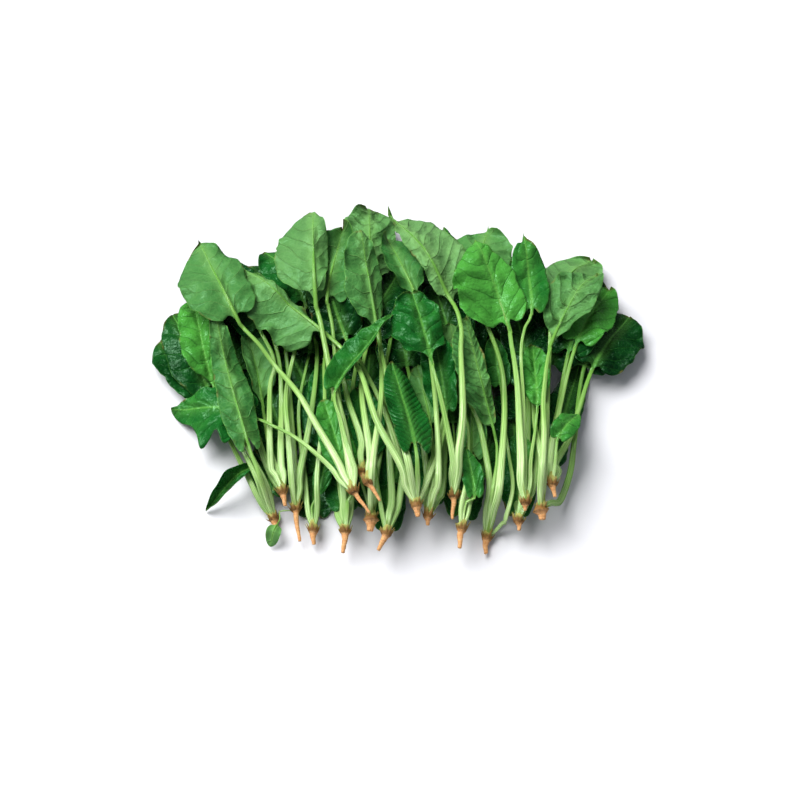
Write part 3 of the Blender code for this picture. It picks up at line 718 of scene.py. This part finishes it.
def tube(mesh, line, wide, thick, turn, look, groove, facing):
    # a stalk and midrib round its centre line; turn is how far each ring is rolled, in radians
    _, side, up = directions(line)
    cosine, sine = np.cos(turn)[:, None], np.sin(turn)[:, None]
    side, up = side * cosine + up * sine, up * cosine - side * sine
    angle = anglesRound(stalk["sides"])
    # the groove runs along the leaf's upper side
    apart = np.abs((angle - math.pi / 2 * facing + math.pi) % (2 * math.pi) - math.pi)
    ribs = stalk["ribs"] * np.abs(np.cos(stalk["ribCount"] / 2 * apart))
    skin = 1 - groove[:, None] * np.exp(-(apart / stalk["grooveWidth"]) ** 2) + ribs
    wide, thick = wide[:, None] * np.cos(angle) * skin, thick[:, None] * np.sin(angle) * skin
    rings = ringsRound(line, side, up, wide, thick)
    place = stacked(np.cos(angle), np.sin(angle), along(line)[:, None])
    mesh.add(rings, tubeFaces(len(line), stalk["sides"]), 2, place, look)


def smoothed(values):
    return np.convolve(np.pad(values, 3, mode="edge"), np.ones(7) / 7, mode="valid")


def buildLeaf(one, made, seed):
    mesh = Mesh()
    dice = np.random.default_rng(seed + 7)
    tone = float(np.clip(one["tone"] + dice.uniform(-0.05, 0.05), 0, 1))
    ageing = dice.uniform(0, 50)
    upper = -1 if one["under"] else 1
    points = made["points"]
    rows, columns = points.shape[:2]
    normal = normalsOf(points)
    normal *= np.sign(np.sum(normal * made["rise"][:, None, :], axis=-1).mean())
    sheet = blade["thickness"] * (0.2 + 0.8 * smoothStep(made["rim"] / blade["rimSoftness"]))[..., None]
    place = stacked(made["side"], made["forward"], 0)
    look = stacked(tone, made["rim"], ageing)
    share = made["forward"] / made["length"]
    vein = stacked(made["phase"], share, one["quilt"])
    faceUp, faceDown = (1, 0) if one["under"] else (0, 1)
    mesh.add(points + normal * sheet / 2, gridFaces(rows, columns, flip=True), faceUp, place, look, vein)
    mesh.add(points - normal * sheet / 2, gridFaces(rows, columns), faceDown, place, look, vein)
    # the rim joins the two faces
    below = rows * columns
    index = np.arange(below).reshape(rows, columns)
    loop = [*index[0], *index[1:, -1], *index[-1, -2::-1], *index[-2:0:-1, 0]]
    mesh.join([tuple(map(int, (a, b, below + b, below + a))) for a, b in zip(loop, loop[1:] + loop[:1])], 1)
    # the stalk runs on as the midrib, proud on the blade's underside
    middle = columns // 2
    proud = made["rib"][1:] * blade["midribProud"]
    ribLine = points[1:, middle] - upper * made["rise"][1:] * proud[:, None]
    line = np.vstack([made["line"], ribLine])
    share = along(line) / made["baseAt"]
    turn = np.concatenate([rollAt(one, made["lineArc"] - made["baseAt"]), made["turn"][1:]])
    wide = smoothed(np.concatenate([made["radius"], made["rib"][1:]]))
    flat = [made["radius"] * stalk["flatness"], made["rib"][1:] * blade["midribFlatness"]]
    thick = smoothed(np.concatenate(flat))
    groove = stalk["groove"] * smoothStep((1.05 - share) * 8)
    # painted light and shade: stalks high in the heap are painted lighter, as if lit, and low ones darker
    # green, as if shaded
    heapLight = 0.15 + 0.85 * smoothStep(one["tier"] / 8) + dice.uniform(-0.15, 0.15)
    look = stacked(heapLight, share[:, None], ageing + np.zeros(stalk["sides"]))
    tube(mesh, line, wide, thick, turn, look, groove, upper)
    return mesh


def buildScale(crown, ahead, outward, dice):
    # the stub of an old stalk, beside the crown
    rows, sides = root["scaleGrid"]
    across = np.cross(ahead, outward)
    reach, lean = dice.uniform(*root["scaleReach"]), dice.uniform(*root["scaleLean"])
    t = np.linspace(0, 1, rows)[:, None]
    lift = 3.2 + 1.6 * np.sin(t * 1.6) + lean * reach * t ** 2 * 0.5
    spine = crown + ahead * (t * reach - 1.2) + outward * lift
    halfWide = (1.7 - 1.3 * t ** 1.5) * dice.uniform(*root["scaleWidth"])
    halfThick = 0.55 - 0.35 * t
    turn = anglesRound(sides)
    ring = (spine[:, None, :] + across * (halfWide * np.cos(turn))[..., None]
            + outward * (halfThick * np.sin(turn))[..., None])
    place = stacked(np.cos(turn) * 4, np.sin(turn) * 4, t * 3.5 - 1)
    return ring, tubeFaces(rows, sides), place


def buildRoot(plant, axis, seed):
    mesh = Mesh()
    girth = plant["girth"]
    crown = np.array([*plant["crown"], axis], float)
    end = np.array([*plant["root"], -min(axis - girth, 4) * 0.4], float)
    length = np.linalg.norm(end)
    ahead = np.array([*heading(plant), 0])
    rows, sides = root["rows"], root["sides"]
    at = np.concatenate([np.linspace(-length, -1, rows // 2), np.linspace(0, root["neck"], rows - rows // 2)])
    line = np.where(at[:, None] < 0, crown - end * at[:, None] / length, crown + ahead * at[:, None])
    dice = np.random.default_rng(seed)
    line[:, 0] += waves(at, 0 * at, seed + 1, *root["bendWaves"]) * root["bend"] * np.clip(-at / 6, 0, 1)
    # places along the root and its girth there: the cut end, its taper, the crown and the neck
    known = [-length, -length * 0.5, -3, -0.8, 1.2, 4, root["neck"]]
    radius = np.interp(at, known, [girth * 0.5, girth * 0.72, girth * 0.95, girth * 1.4, 3.9, 3.6, 2.0])
    angle = anglesRound(sides)
    forward, side, up = directions(line)
    rough = 1 + root["rough"] * waves(angle[None, :] * girth, at[:, None], seed + 2, *root["roughWaves"])
    rings = np.sin(at[:, None] * root["ringPace"] + 0.6 * np.sin(angle[None, :] * 2 + seed))
    swell = radius[:, None] * rough * (1 + root["rings"] * rings * (at[:, None] < 0))
    skin = ringsRound(line, side, up, swell * np.cos(angle), swell * np.sin(angle))
    round4 = np.column_stack([np.cos(angle) * 4, np.sin(angle) * 4, 0 * angle])
    place = round4 + np.array([0, 0, 1]) * at[:, None, None]
    look = np.array([dice.uniform(0, 1), 0, dice.uniform(0, 50)])
    mesh.add(skin, gridFaces(len(at), sides, closed=True, flip=True), 0, place, look)
    scales = []
    for count in range(root["scales"]):
        bearing = 2 * math.pi * (count + dice.uniform(-0.3, 0.3)) / root["scales"]
        outward = side[-1] * math.cos(bearing) + up[-1] * math.sin(bearing)
        scales.append(buildScale(crown, ahead, outward, dice))
    # the cut end: a flat face with a slightly raised core
    rim = skin[0]
    centre = rim.mean(axis=0)
    for share, bulge in ((0.82, 0.15), (0.45, 0.35)):
        mesh.add(centre + (rim - centre) * share - forward[0] * bulge, [], 1, round4 * share, look)
    mesh.add(centre[None, :] - forward[0] * 0.4, [], 1, np.zeros((1, 3)), look)
    first = len(at) * sides
    around = [(k, (k + 1) % sides) for k in range(sides)]
    for inner, outer in ((first, 0), (first + sides, first)):
        mesh.join([(outer + a, outer + b, inner + b, inner + a) for a, b in around], 1)
    mesh.join([(first + sides + a, first + sides + b, first + 2 * sides) for a, b in around], 1)
    for ring, faces, place in scales:
        mesh.add(ring, faces, 0, place, look)
    return mesh


class Nodes:
    # short calls for building a node tree

    def __init__(self, tree):
        self.tree = tree

    def put(self, kind, inputs=None, **settings):
        node = self.tree.nodes.new(kind)
        for key, value in settings.items():
            setattr(node, key, value)
        for key, value in (inputs or {}).items():
            self.feed(node.inputs[key], value)
        return node

    def feed(self, socket, value):
        if isinstance(value, bpy.types.NodeSocket):
            self.tree.links.new(value, socket)
        else:
            socket.default_value = value

    def math(self, operation, *values, clamp=False):
        node = self.put("ShaderNodeMath", dict(enumerate(values)), operation=operation, use_clamp=clamp)
        return node.outputs[0]

    def plus(self, a, b, clamp=False):
        return self.math("ADD", a, b, clamp=clamp)

    def minus(self, a, b):
        return self.math("SUBTRACT", a, b)

    def times(self, a, b):
        return self.math("MULTIPLY", a, b)

    def range(self, value, low, high, toLow=0.0, toHigh=1.0, smooth=True):
        kind = "SMOOTHSTEP" if smooth else "LINEAR"
        node = self.put("ShaderNodeMapRange", {0: value, 1: low, 2: high, 3: toLow, 4: toHigh},
                        interpolation_type=kind)
        return node.outputs[0]

    def fade(self, value, low, high):
        # one below low, nothing above high
        return self.minus(1.0, self.range(value, low, high))

    def swing(self, noise, amount):
        # noise as a drift both ways
        return self.times(self.minus(noise, 0.5), amount)

    def mix(self, share, a, b, blend="MIX"):
        node = self.put("ShaderNodeMix", data_type="RGBA", blend_type=blend)
        self.feed(node.inputs["Factor"], share)
        for socket, value in ((node.inputs[6], a), (node.inputs[7], b)):
            self.feed(socket, (*value, 1) if isinstance(value, tuple) and len(value) == 3 else value)
        return node.outputs[2]

    def split(self, vector):
        return self.put("ShaderNodeSeparateXYZ", {0: vector}).outputs

    def join(self, x, y, z):
        return self.put("ShaderNodeCombineXYZ", {0: x, 1: y, 2: z}).outputs[0]

    def noise(self, vector, scale, detail=2.0, rough=0.5):
        return self.put("ShaderNodeTexNoise", {"Vector": vector, "Scale": scale, "Detail": detail,
                                               "Roughness": rough}).outputs[0]

    def attribute(self, name):
        return self.put("ShaderNodeAttribute", attribute_name=name).outputs["Vector"]


def veinGroup():
    # midrib, side veins and the fine net between them, from the blade's own coordinates in millimetres
    group = bpy.data.node_groups.new("bladeVeins", "ShaderNodeTree")
    for key, kind in (("Place", "Vector"), ("Vein", "Vector"), ("Seed", "Float"), ("Spacing", "Float")):
        group.interface.new_socket(key, in_out="INPUT", socket_type="NodeSocket" + kind)
    for key in ("Midrib", "Side Veins", "Net", "Swell"):
        group.interface.new_socket(key, in_out="OUTPUT", socket_type="NodeSocketFloat")
    n = Nodes(group)
    given, out = n.put("NodeGroupInput").outputs, n.put("NodeGroupOutput").inputs
    x, y, _ = n.split(given["Place"])
    phase, share, _ = n.split(given["Vein"])
    reach = n.math("ABSOLUTE", x)
    shifted = n.join(x, y, n.times(given["Seed"], blade["patternStep"]))
    off = n.math("ABSOLUTE", n.minus(n.math("FRACT", phase), 0.5))
    near = n.times(n.minus(0.5, off), given["Spacing"])
    width = n.math("MAXIMUM", n.minus(0.85, n.times(reach, 0.022)), 0.3)
    line = n.fade(n.math("DIVIDE", near, width), 0.0, 1.0)
    there = n.range(n.noise(shifted, 0.09), 0.2, 0.55)
    n.feed(out["Side Veins"], n.times(line, there))
    swell = n.minus(1.0, n.math("POWER", n.times(off, 2.0), 2.0))
    n.feed(out["Swell"], n.times(swell, n.range(reach, 0.0, 4.0)))
    taper = n.plus(n.times(n.minus(1.0, share), 1.5), 0.4)
    n.feed(out["Midrib"], n.fade(n.math("DIVIDE", reach, taper), 0.3, 1.2))
    cells = n.put("ShaderNodeTexVoronoi", {"Vector": shifted, "Scale": 0.22}, feature="DISTANCE_TO_EDGE")
    fine = n.put("ShaderNodeTexVoronoi", {"Vector": shifted, "Scale": 0.7}, feature="DISTANCE_TO_EDGE")
    net = n.fade(cells.outputs[0], 0.0, 0.14)
    finer = n.times(n.fade(fine.outputs[0], 0.0, 0.2), 0.4)
    n.feed(out["Net"], n.math("MAXIMUM", net, finer))
    return group


def newMaterial(name, inputs):
    material = bpy.data.materials.new(name)
    material.use_nodes = True
    shader = material.node_tree.nodes["Principled BSDF"]
    for key, value in inputs.items():
        shader.inputs[key].default_value = value
    return material, Nodes(material.node_tree), shader


def dress(n, shader, colour, height, strength, distance):
    n.feed(shader.inputs["Base Color"], colour)
    bump = n.put("ShaderNodeBump", {"Height": height, "Strength": strength, "Distance": distance * mm})
    n.feed(shader.inputs["Normal"], bump.outputs[0])


# colours run from the darkest, near black, which is painted shade on leaves lying beneath others, over middle
# to fresh; heights are in relief and bump is its depth in millimetres
upperLook = dict(
    # the first colour of each look is painted shade for leaves lying beneath others
    deepShade=(0.0003, 0.015, 0.003), middle=(0.007, 0.10, 0.013), fresh=(0.055, 0.26, 0.033),
    veinColour=(0.035, 0.20, 0.03), ribColour=(0.10, 0.31, 0.05), rimColour=(0.06, 0.20, 0.03),
    dryColour=(0.14, 0.10, 0.03), patches=0.7, mottle=0.2, net=0.1, side=0.55, midrib=0.65,
    beside=0.22,        # how much paler the tissue next to the midrib is: partly its own colour, partly painted light that rounds the blade
    smooth=0.16, rough=0.32,    # the roughness varies between these
    index=1.45,
    veinHeight=-0.4, netHeight=-0.15, swell=0.7, puffs=1.0, bump=1.2)
underLook = dict(
    deepShade=(0.010, 0.10, 0.016), middle=(0.052, 0.18, 0.042), fresh=(0.125, 0.28, 0.09),
    veinColour=(0.17, 0.38, 0.10), ribColour=(0.22, 0.44, 0.11), rimColour=(0.13, 0.32, 0.05),
    dryColour=(0.14, 0.10, 0.03), patches=0.5, mottle=0.2, net=0.14, side=0.42, midrib=0.5,
    beside=0.2, smooth=0.34, rough=0.48, index=1.4,
    veinHeight=0.5, netHeight=0.15, swell=-0.6, puffs=-1.0, bump=0.9)


def bladeMaterial(name, veins, look):
    # the greenish tint keeps its reflections the colour of the leaf
    settings = {"IOR": look["index"], "Specular Tint": (0.5, 1.0, 0.6, 1.0)}
    material, n, shader = newMaterial(name, settings)
    tone, rim, seed = n.split(n.attribute("look"))
    place, vein = n.attribute("place"), n.attribute("vein")
    pattern = n.put("ShaderNodeGroup", node_tree=veins)
    given = {"Place": place, "Vein": vein, "Seed": seed, "Spacing": blade["veinSpacing"]}
    for key, value in given.items():
        n.feed(pattern.inputs[key], value)
    midrib, side, net, swell = (pattern.outputs[key] for key in ("Midrib", "Side Veins", "Net", "Swell"))
    _, share, relief = n.split(vein)
    x, y, _ = n.split(place)
    step = n.times(seed, blade["patternStep"])
    spot = n.join(x, y, step)
    patches = n.noise(spot, 0.035, 3.0)
    mottle = n.noise(spot, 0.35, 4.0, 0.6)
    shade = n.plus(n.swing(patches, look["patches"]), tone)
    shade = n.plus(shade, n.swing(mottle, look["mottle"]), clamp=True)
    # the darkest colour, at low shade, is painted shade on leaves lying beneath others
    colour = n.mix(n.range(shade, 0.0, 0.5, smooth=False), look["deepShade"], look["middle"])
    colour = n.mix(n.range(shade, 0.5, 1.0, smooth=False), colour, look["fresh"])
    colour = n.mix(n.times(net, look["net"]), colour, look["veinColour"])
    colour = n.mix(n.times(side, look["side"]), colour, look["veinColour"])
    colour = n.mix(n.times(midrib, look["midrib"]), colour, look["ribColour"])
    # a band beside the midrib: paler tissue and painted light that rounds the blade
    beside = n.times(n.fade(n.math("ABSOLUTE", x), 0.5, 9.0), look["beside"])
    colour = n.mix(beside, colour, look["ribColour"])
    # the very rim is thinner and yellower, and brown here and there
    margin = n.fade(rim, 0.1, 0.9)
    colour = n.mix(n.times(margin, 0.45), colour, look["rimColour"])
    dry = n.times(n.fade(rim, 0.2, 2.2), n.range(n.noise(spot, 0.06), 0.58, 0.68))
    tip = n.times(n.range(share, 0.95, 1.0), n.range(n.noise(spot, 0.3), 0.35, 0.6))
    colour = n.mix(n.times(n.math("MAXIMUM", dry, tip), 0.75), colour, look["dryColour"])
    n.feed(shader.inputs["Roughness"], n.range(mottle, 0.3, 0.7, look["smooth"], look["rough"], False))
    height = n.times(side, look["veinHeight"])
    height = n.plus(height, n.times(net, look["netHeight"]))
    height = n.plus(height, n.times(swell, look["swell"]))
    puffs = n.noise(n.join(x, n.times(y, 1.6), step), 0.16, 1.0)
    height = n.plus(height, n.times(puffs, look["puffs"]))
    height = n.times(height, n.plus(n.times(relief, 0.6), 0.4))
    height = n.plus(height, n.times(n.noise(spot, 0.9, 4.0, 0.6), 0.15))
    dress(n, shader, colour, height, 1.0, look["bump"])
    return material


stalkLook = dict(
    # from the crown to the blade, then along the midrib
    stops=((0.0, (0.24, 0.28, 0.07)), (0.03, (0.57, 0.75, 0.36)), (0.15, (0.56, 0.75, 0.34)),
           (0.32, (0.37, 0.58, 0.18)), (0.6, (0.18, 0.39, 0.07)), (0.8, (0.10, 0.30, 0.05))),
    bladeAt=0.64,       # where on that scale the blade begins
    # the tint darkens stalks low in the heap: painted shade
    unevenness=0.2, shadeTint=(0.16, 0.36, 0.07), fibreColour=(0.12, 0.30, 0.04), roughness=0.24, bump=0.5)


def stalkMaterial():
    material, n, shader = newMaterial("stalkSkin", {
        "Roughness": stalkLook["roughness"], "IOR": 1.5, "Subsurface Weight": 0.12,
        "Subsurface Radius": (0.6, 1.0, 0.3), "Subsurface Scale": 0.002})
    heapLight, share, seed = n.split(n.attribute("look"))
    x, y, z = n.split(n.attribute("place"))
    strands = n.join(n.times(x, 5.0), n.times(y, 5.0), n.plus(n.times(z, 0.02), seed))
    fibres = n.noise(strands, 1.1, 3.0, 0.6)
    patches = n.noise(n.join(x, y, n.plus(n.times(z, 0.03), seed)), 1.0, 2.0)
    ramp = n.put("ShaderNodeValToRGB")
    stops = stalkLook["stops"]
    elements = ramp.color_ramp.elements
    for at, colour in stops[1:-1]:
        elements.new(at).color = (*colour, 1)
    for element, (at, colour) in ((elements[0], stops[0]), (elements[len(elements) - 1], stops[-1])):
        element.position, element.color = at, (*colour, 1)
    drift = n.swing(patches, stalkLook["unevenness"])
    n.feed(ramp.inputs[0], n.plus(n.times(share, stalkLook["bladeAt"]), drift))
    # stalks low in the heap are tinted darker green: painted shade
    tinted = n.mix(0.75, ramp.outputs[0], stalkLook["shadeTint"], "MULTIPLY")
    green = n.mix(0.75, ramp.outputs[0], tinted)
    colour = n.mix(n.math("MINIMUM", heapLight, 1.0), green, ramp.outputs[0])
    colour = n.mix(n.range(fibres, 0.42, 0.62, 0.0, 0.8), colour, stalkLook["fibreColour"])
    dress(n, shader, colour, fibres, 0.8, stalkLook["bump"])
    return material


rootLook = dict(
    skin=((0.56, 0.25, 0.08), (0.72, 0.41, 0.18)), soil=(0.24, 0.11, 0.03),
    crown=(0.20, 0.095, 0.02), neck=(0.33, 0.33, 0.08), roughness=0.6, bump=0.9,
    cutCore=(0.80, 0.60, 0.32), cutRim=(0.62, 0.30, 0.10), cutRoughness=0.5, cutBump=0.4)


def rootMaterial():
    material, n, shader = newMaterial("rootSkin", {
        "Roughness": rootLook["roughness"], "Subsurface Weight": 0.1, "Subsurface Radius": (1.0, 0.5, 0.2),
        "Subsurface Scale": 0.002})
    _, _, seed = n.split(n.attribute("look"))
    x, y, z = n.split(n.attribute("place"))
    rings = n.join(n.times(x, 0.12), n.times(y, 0.12), n.plus(z, seed))
    bands = n.noise(rings, 0.9, 4.0, 0.65)
    soil = n.noise(n.join(x, y, n.plus(z, seed)), 0.55, 4.0, 0.7)
    skin = n.mix(n.range(bands, 0.3, 0.7), *rootLook["skin"])
    skin = n.mix(n.range(soil, 0.52, 0.72), skin, rootLook["soil"])
    # towards the crown the skin turns brown, then green where the stalks begin
    neck = n.plus(z, n.swing(soil, 5.0))
    skin = n.mix(n.range(neck, -3.5, -0.5), skin, rootLook["crown"])
    skin = n.mix(n.range(neck, 0.0, 3.0), skin, rootLook["neck"])
    dress(n, shader, skin, n.plus(bands, n.times(soil, 0.7)), 0.9, rootLook["bump"])
    return material


def cutMaterial():
    material, n, shader = newMaterial("rootCut", {"Roughness": rootLook["cutRoughness"]})
    _, _, seed = n.split(n.attribute("look"))
    x, y, _ = n.split(n.attribute("place"))
    out = n.math("SQRT", n.plus(n.times(x, x), n.times(y, y)))
    grain = n.noise(n.join(x, y, seed), 1.2, 3.0)
    rings = n.plus(n.math("DIVIDE", out, 4.0), n.swing(grain, 0.25))
    colour = n.mix(n.range(rings, 0.2, 0.75), rootLook["cutCore"], rootLook["cutRim"])
    dress(n, shader, colour, grain, 0.6, rootLook["cutBump"])
    return material


veins = veinGroup()
leafUpper = bladeMaterial("leafUpper", veins, upperLook)
leafUnder = bladeMaterial("leafUnder", veins, underLook)
stalkSkin = stalkMaterial()
rootSkin = rootMaterial()
rootCut = cutMaterial()
print("materials made")


def isNode(plant, one):
    # whether the frame has this root or leaf
    return one is None or "plant_" + plant["name"] + "_leaf_" + one["name"][1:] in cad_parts


order = []
for index, plant in enumerate(plants):
    order.append((plant["tier"], seeds["root"] + index, plant, None))
    for number, one in enumerate(plant["leaves"]):
        seed = seeds["leaf"] + seeds["eachPlant"] * index + seeds["eachLeaf"] * number
        order.append((one["tier"], seed + seeds["eachVariant"] * one["variant"], plant, one))
order.sort(key=lambda row: row[0])

axes, laid = {}, []
for _, seed, plant, one in order:
    if one is None:
        axes[plant["name"]] = layCrown(plant)
    laid.append((seed, plant, one, one and layLeaf(one, plant, seed)))
print("heap laid:", len(laid), "pieces, highest", round(float(heights.max()), 1), "mm")

pieces = []
for seed, plant, one, made in laid:
    axis = axes[plant["name"]]
    if one is None:
        pieces.append((plant, None, buildRoot(plant, axis, seed)))
    else:
        joinCrown(made, axis)
        pieces.append((plant, one, buildLeaf(one, made, seed)))

# the heap stands where the frame stands: centred on its box, on the same surface
kept = [np.vstack(mesh.points) for plant, one, mesh in pieces if isNode(plant, one)]
low = np.min([points.min(axis=0) for points in kept], axis=0)
high = np.max([points.max(axis=0) for points in kept], axis=0)
cadLow, cadHigh = (np.array(corner) / mm for corner in cadBox)
shift = np.array([*((cadLow + cadHigh - low - high) / 2)[:2], cadLow[2] - low[2]])

triangles = 0
for plant, one, mesh in pieces:
    mesh.points = [points + shift for points in mesh.points]
    if one is None:
        piece = mesh.build("root_" + plant["name"], [rootSkin, rootCut])
        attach(piece, "root")
        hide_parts("plant_" + plant["name"] + "_root")
    else:
        piece = mesh.build("leaf_" + one["name"], [leafUpper, leafUnder, stalkSkin])
        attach(piece, "root")
        if isNode(plant, one):
            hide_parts("plant_" + plant["name"] + "_leaf_" + one["name"][1:])
    triangles += sum(len(polygon.vertices) - 2 for polygon in piece.data.polygons)
print("pieces built:", len(pieces), "with", triangles, "triangles")


paper = dict(size=30, below=0.0003, colour=(0.66, 0.66, 0.69, 1), shine=0.1, roughness=0.9)


def makeFloor():
    bpy.ops.mesh.primitive_plane_add(size=paper["size"], location=(0, 0, -paper["below"]))
    floor = bpy.context.object
    floor.name = "floor"
    settings = {"Roughness": paper["roughness"], "Base Color": paper["colour"],
                "Specular IOR Level": paper["shine"]}
    floor.data.materials.append(newMaterial("floorPaper", settings)[0])
    floor.visible_glossy = False    # its reflection would lie like mist on the darkest leaves


# suns as wide as big softboxes, in degrees; the first leaves no reflection and the second nothing else
lights = (
    dict(name="backKey", place=(-0.7, 0.55, 1.3), width=48, power=5.75, colour=(1.0, 1.0, 0.985),
         glossy=False, diffuse=True),
    dict(name="sheenLight", place=(-0.95, 0.4, 1.15), width=26, power=3.2, colour=(1.0, 1.0, 1.0),
         glossy=True, diffuse=False),
)


def makeLight(light):
    data = bpy.data.lights.new(light["name"], "SUN")
    data.energy = light["power"]
    data.color = light["colour"]
    data.angle = math.radians(light["width"])
    lamp = bpy.data.objects.new(light["name"], data)
    lamp.location = light["place"]
    lamp.rotation_euler = (-Vector(light["place"])).to_track_quat("-Z", "Y").to_euler()
    lamp.visible_glossy = light["glossy"]
    lamp.visible_diffuse = light["diffuse"]
    bpy.context.collection.objects.link(lamp)


surround = dict(
    fillColour=(0.90, 0.92, 1.0, 1), fill=0.35,
    lessInReflections=0.27,
    seen=(1.0, 1.0, 1.0, 1),    # behind the floor's edge
)


def makeWorld():
    # pale all round to look at, dimmer as light
    world = bpy.data.worlds.new("studio")
    world.use_nodes = True
    n = Nodes(world.node_tree)
    fill = world.node_tree.nodes["Background"]
    fill.inputs["Color"].default_value = surround["fillColour"]
    path = n.put("ShaderNodeLightPath").outputs
    less = n.times(path["Is Glossy Ray"], surround["lessInReflections"])
    n.feed(fill.inputs["Strength"], n.minus(surround["fill"], less))
    seen = n.put("ShaderNodeBackground", {"Color": surround["seen"], "Strength": 1.0})
    both = n.put("ShaderNodeMixShader", {0: path["Is Camera Ray"], 1: fill.outputs[0], 2: seen.outputs[0]})
    n.feed(world.node_tree.nodes["World Output"].inputs["Surface"], both.outputs[0])
    bpy.context.scene.world = world


view = dict(
    elevation=65,       # degrees, down on the bunch from the root side
    distance=2.2,
    framed=0.64,        # metres across the picture
    aim=(0.0024, -0.0150),  # a place of the heap, in metres
)


def makeCamera():
    elevation = math.radians(view["elevation"])
    aim = Vector((view["aim"][0] + shift[0] * mm, view["aim"][1] + shift[1] * mm, 0))
    data = bpy.data.cameras.new("camera")
    data.sensor_width = 36
    data.lens = data.sensor_width * view["distance"] / view["framed"]
    camera = bpy.data.objects.new("camera", data)
    camera.location = aim + Vector((0, -math.cos(elevation), math.sin(elevation))) * view["distance"]
    camera.rotation_euler = (aim - camera.location).to_track_quat("-Z", "Y").to_euler()
    bpy.context.collection.objects.link(camera)
    bpy.context.scene.camera = camera


makeFloor()
for light in lights:
    makeLight(light)
makeWorld()
bpy.context.scene.view_settings.view_transform = "Standard"
makeCamera()
print("floor, light and camera set")
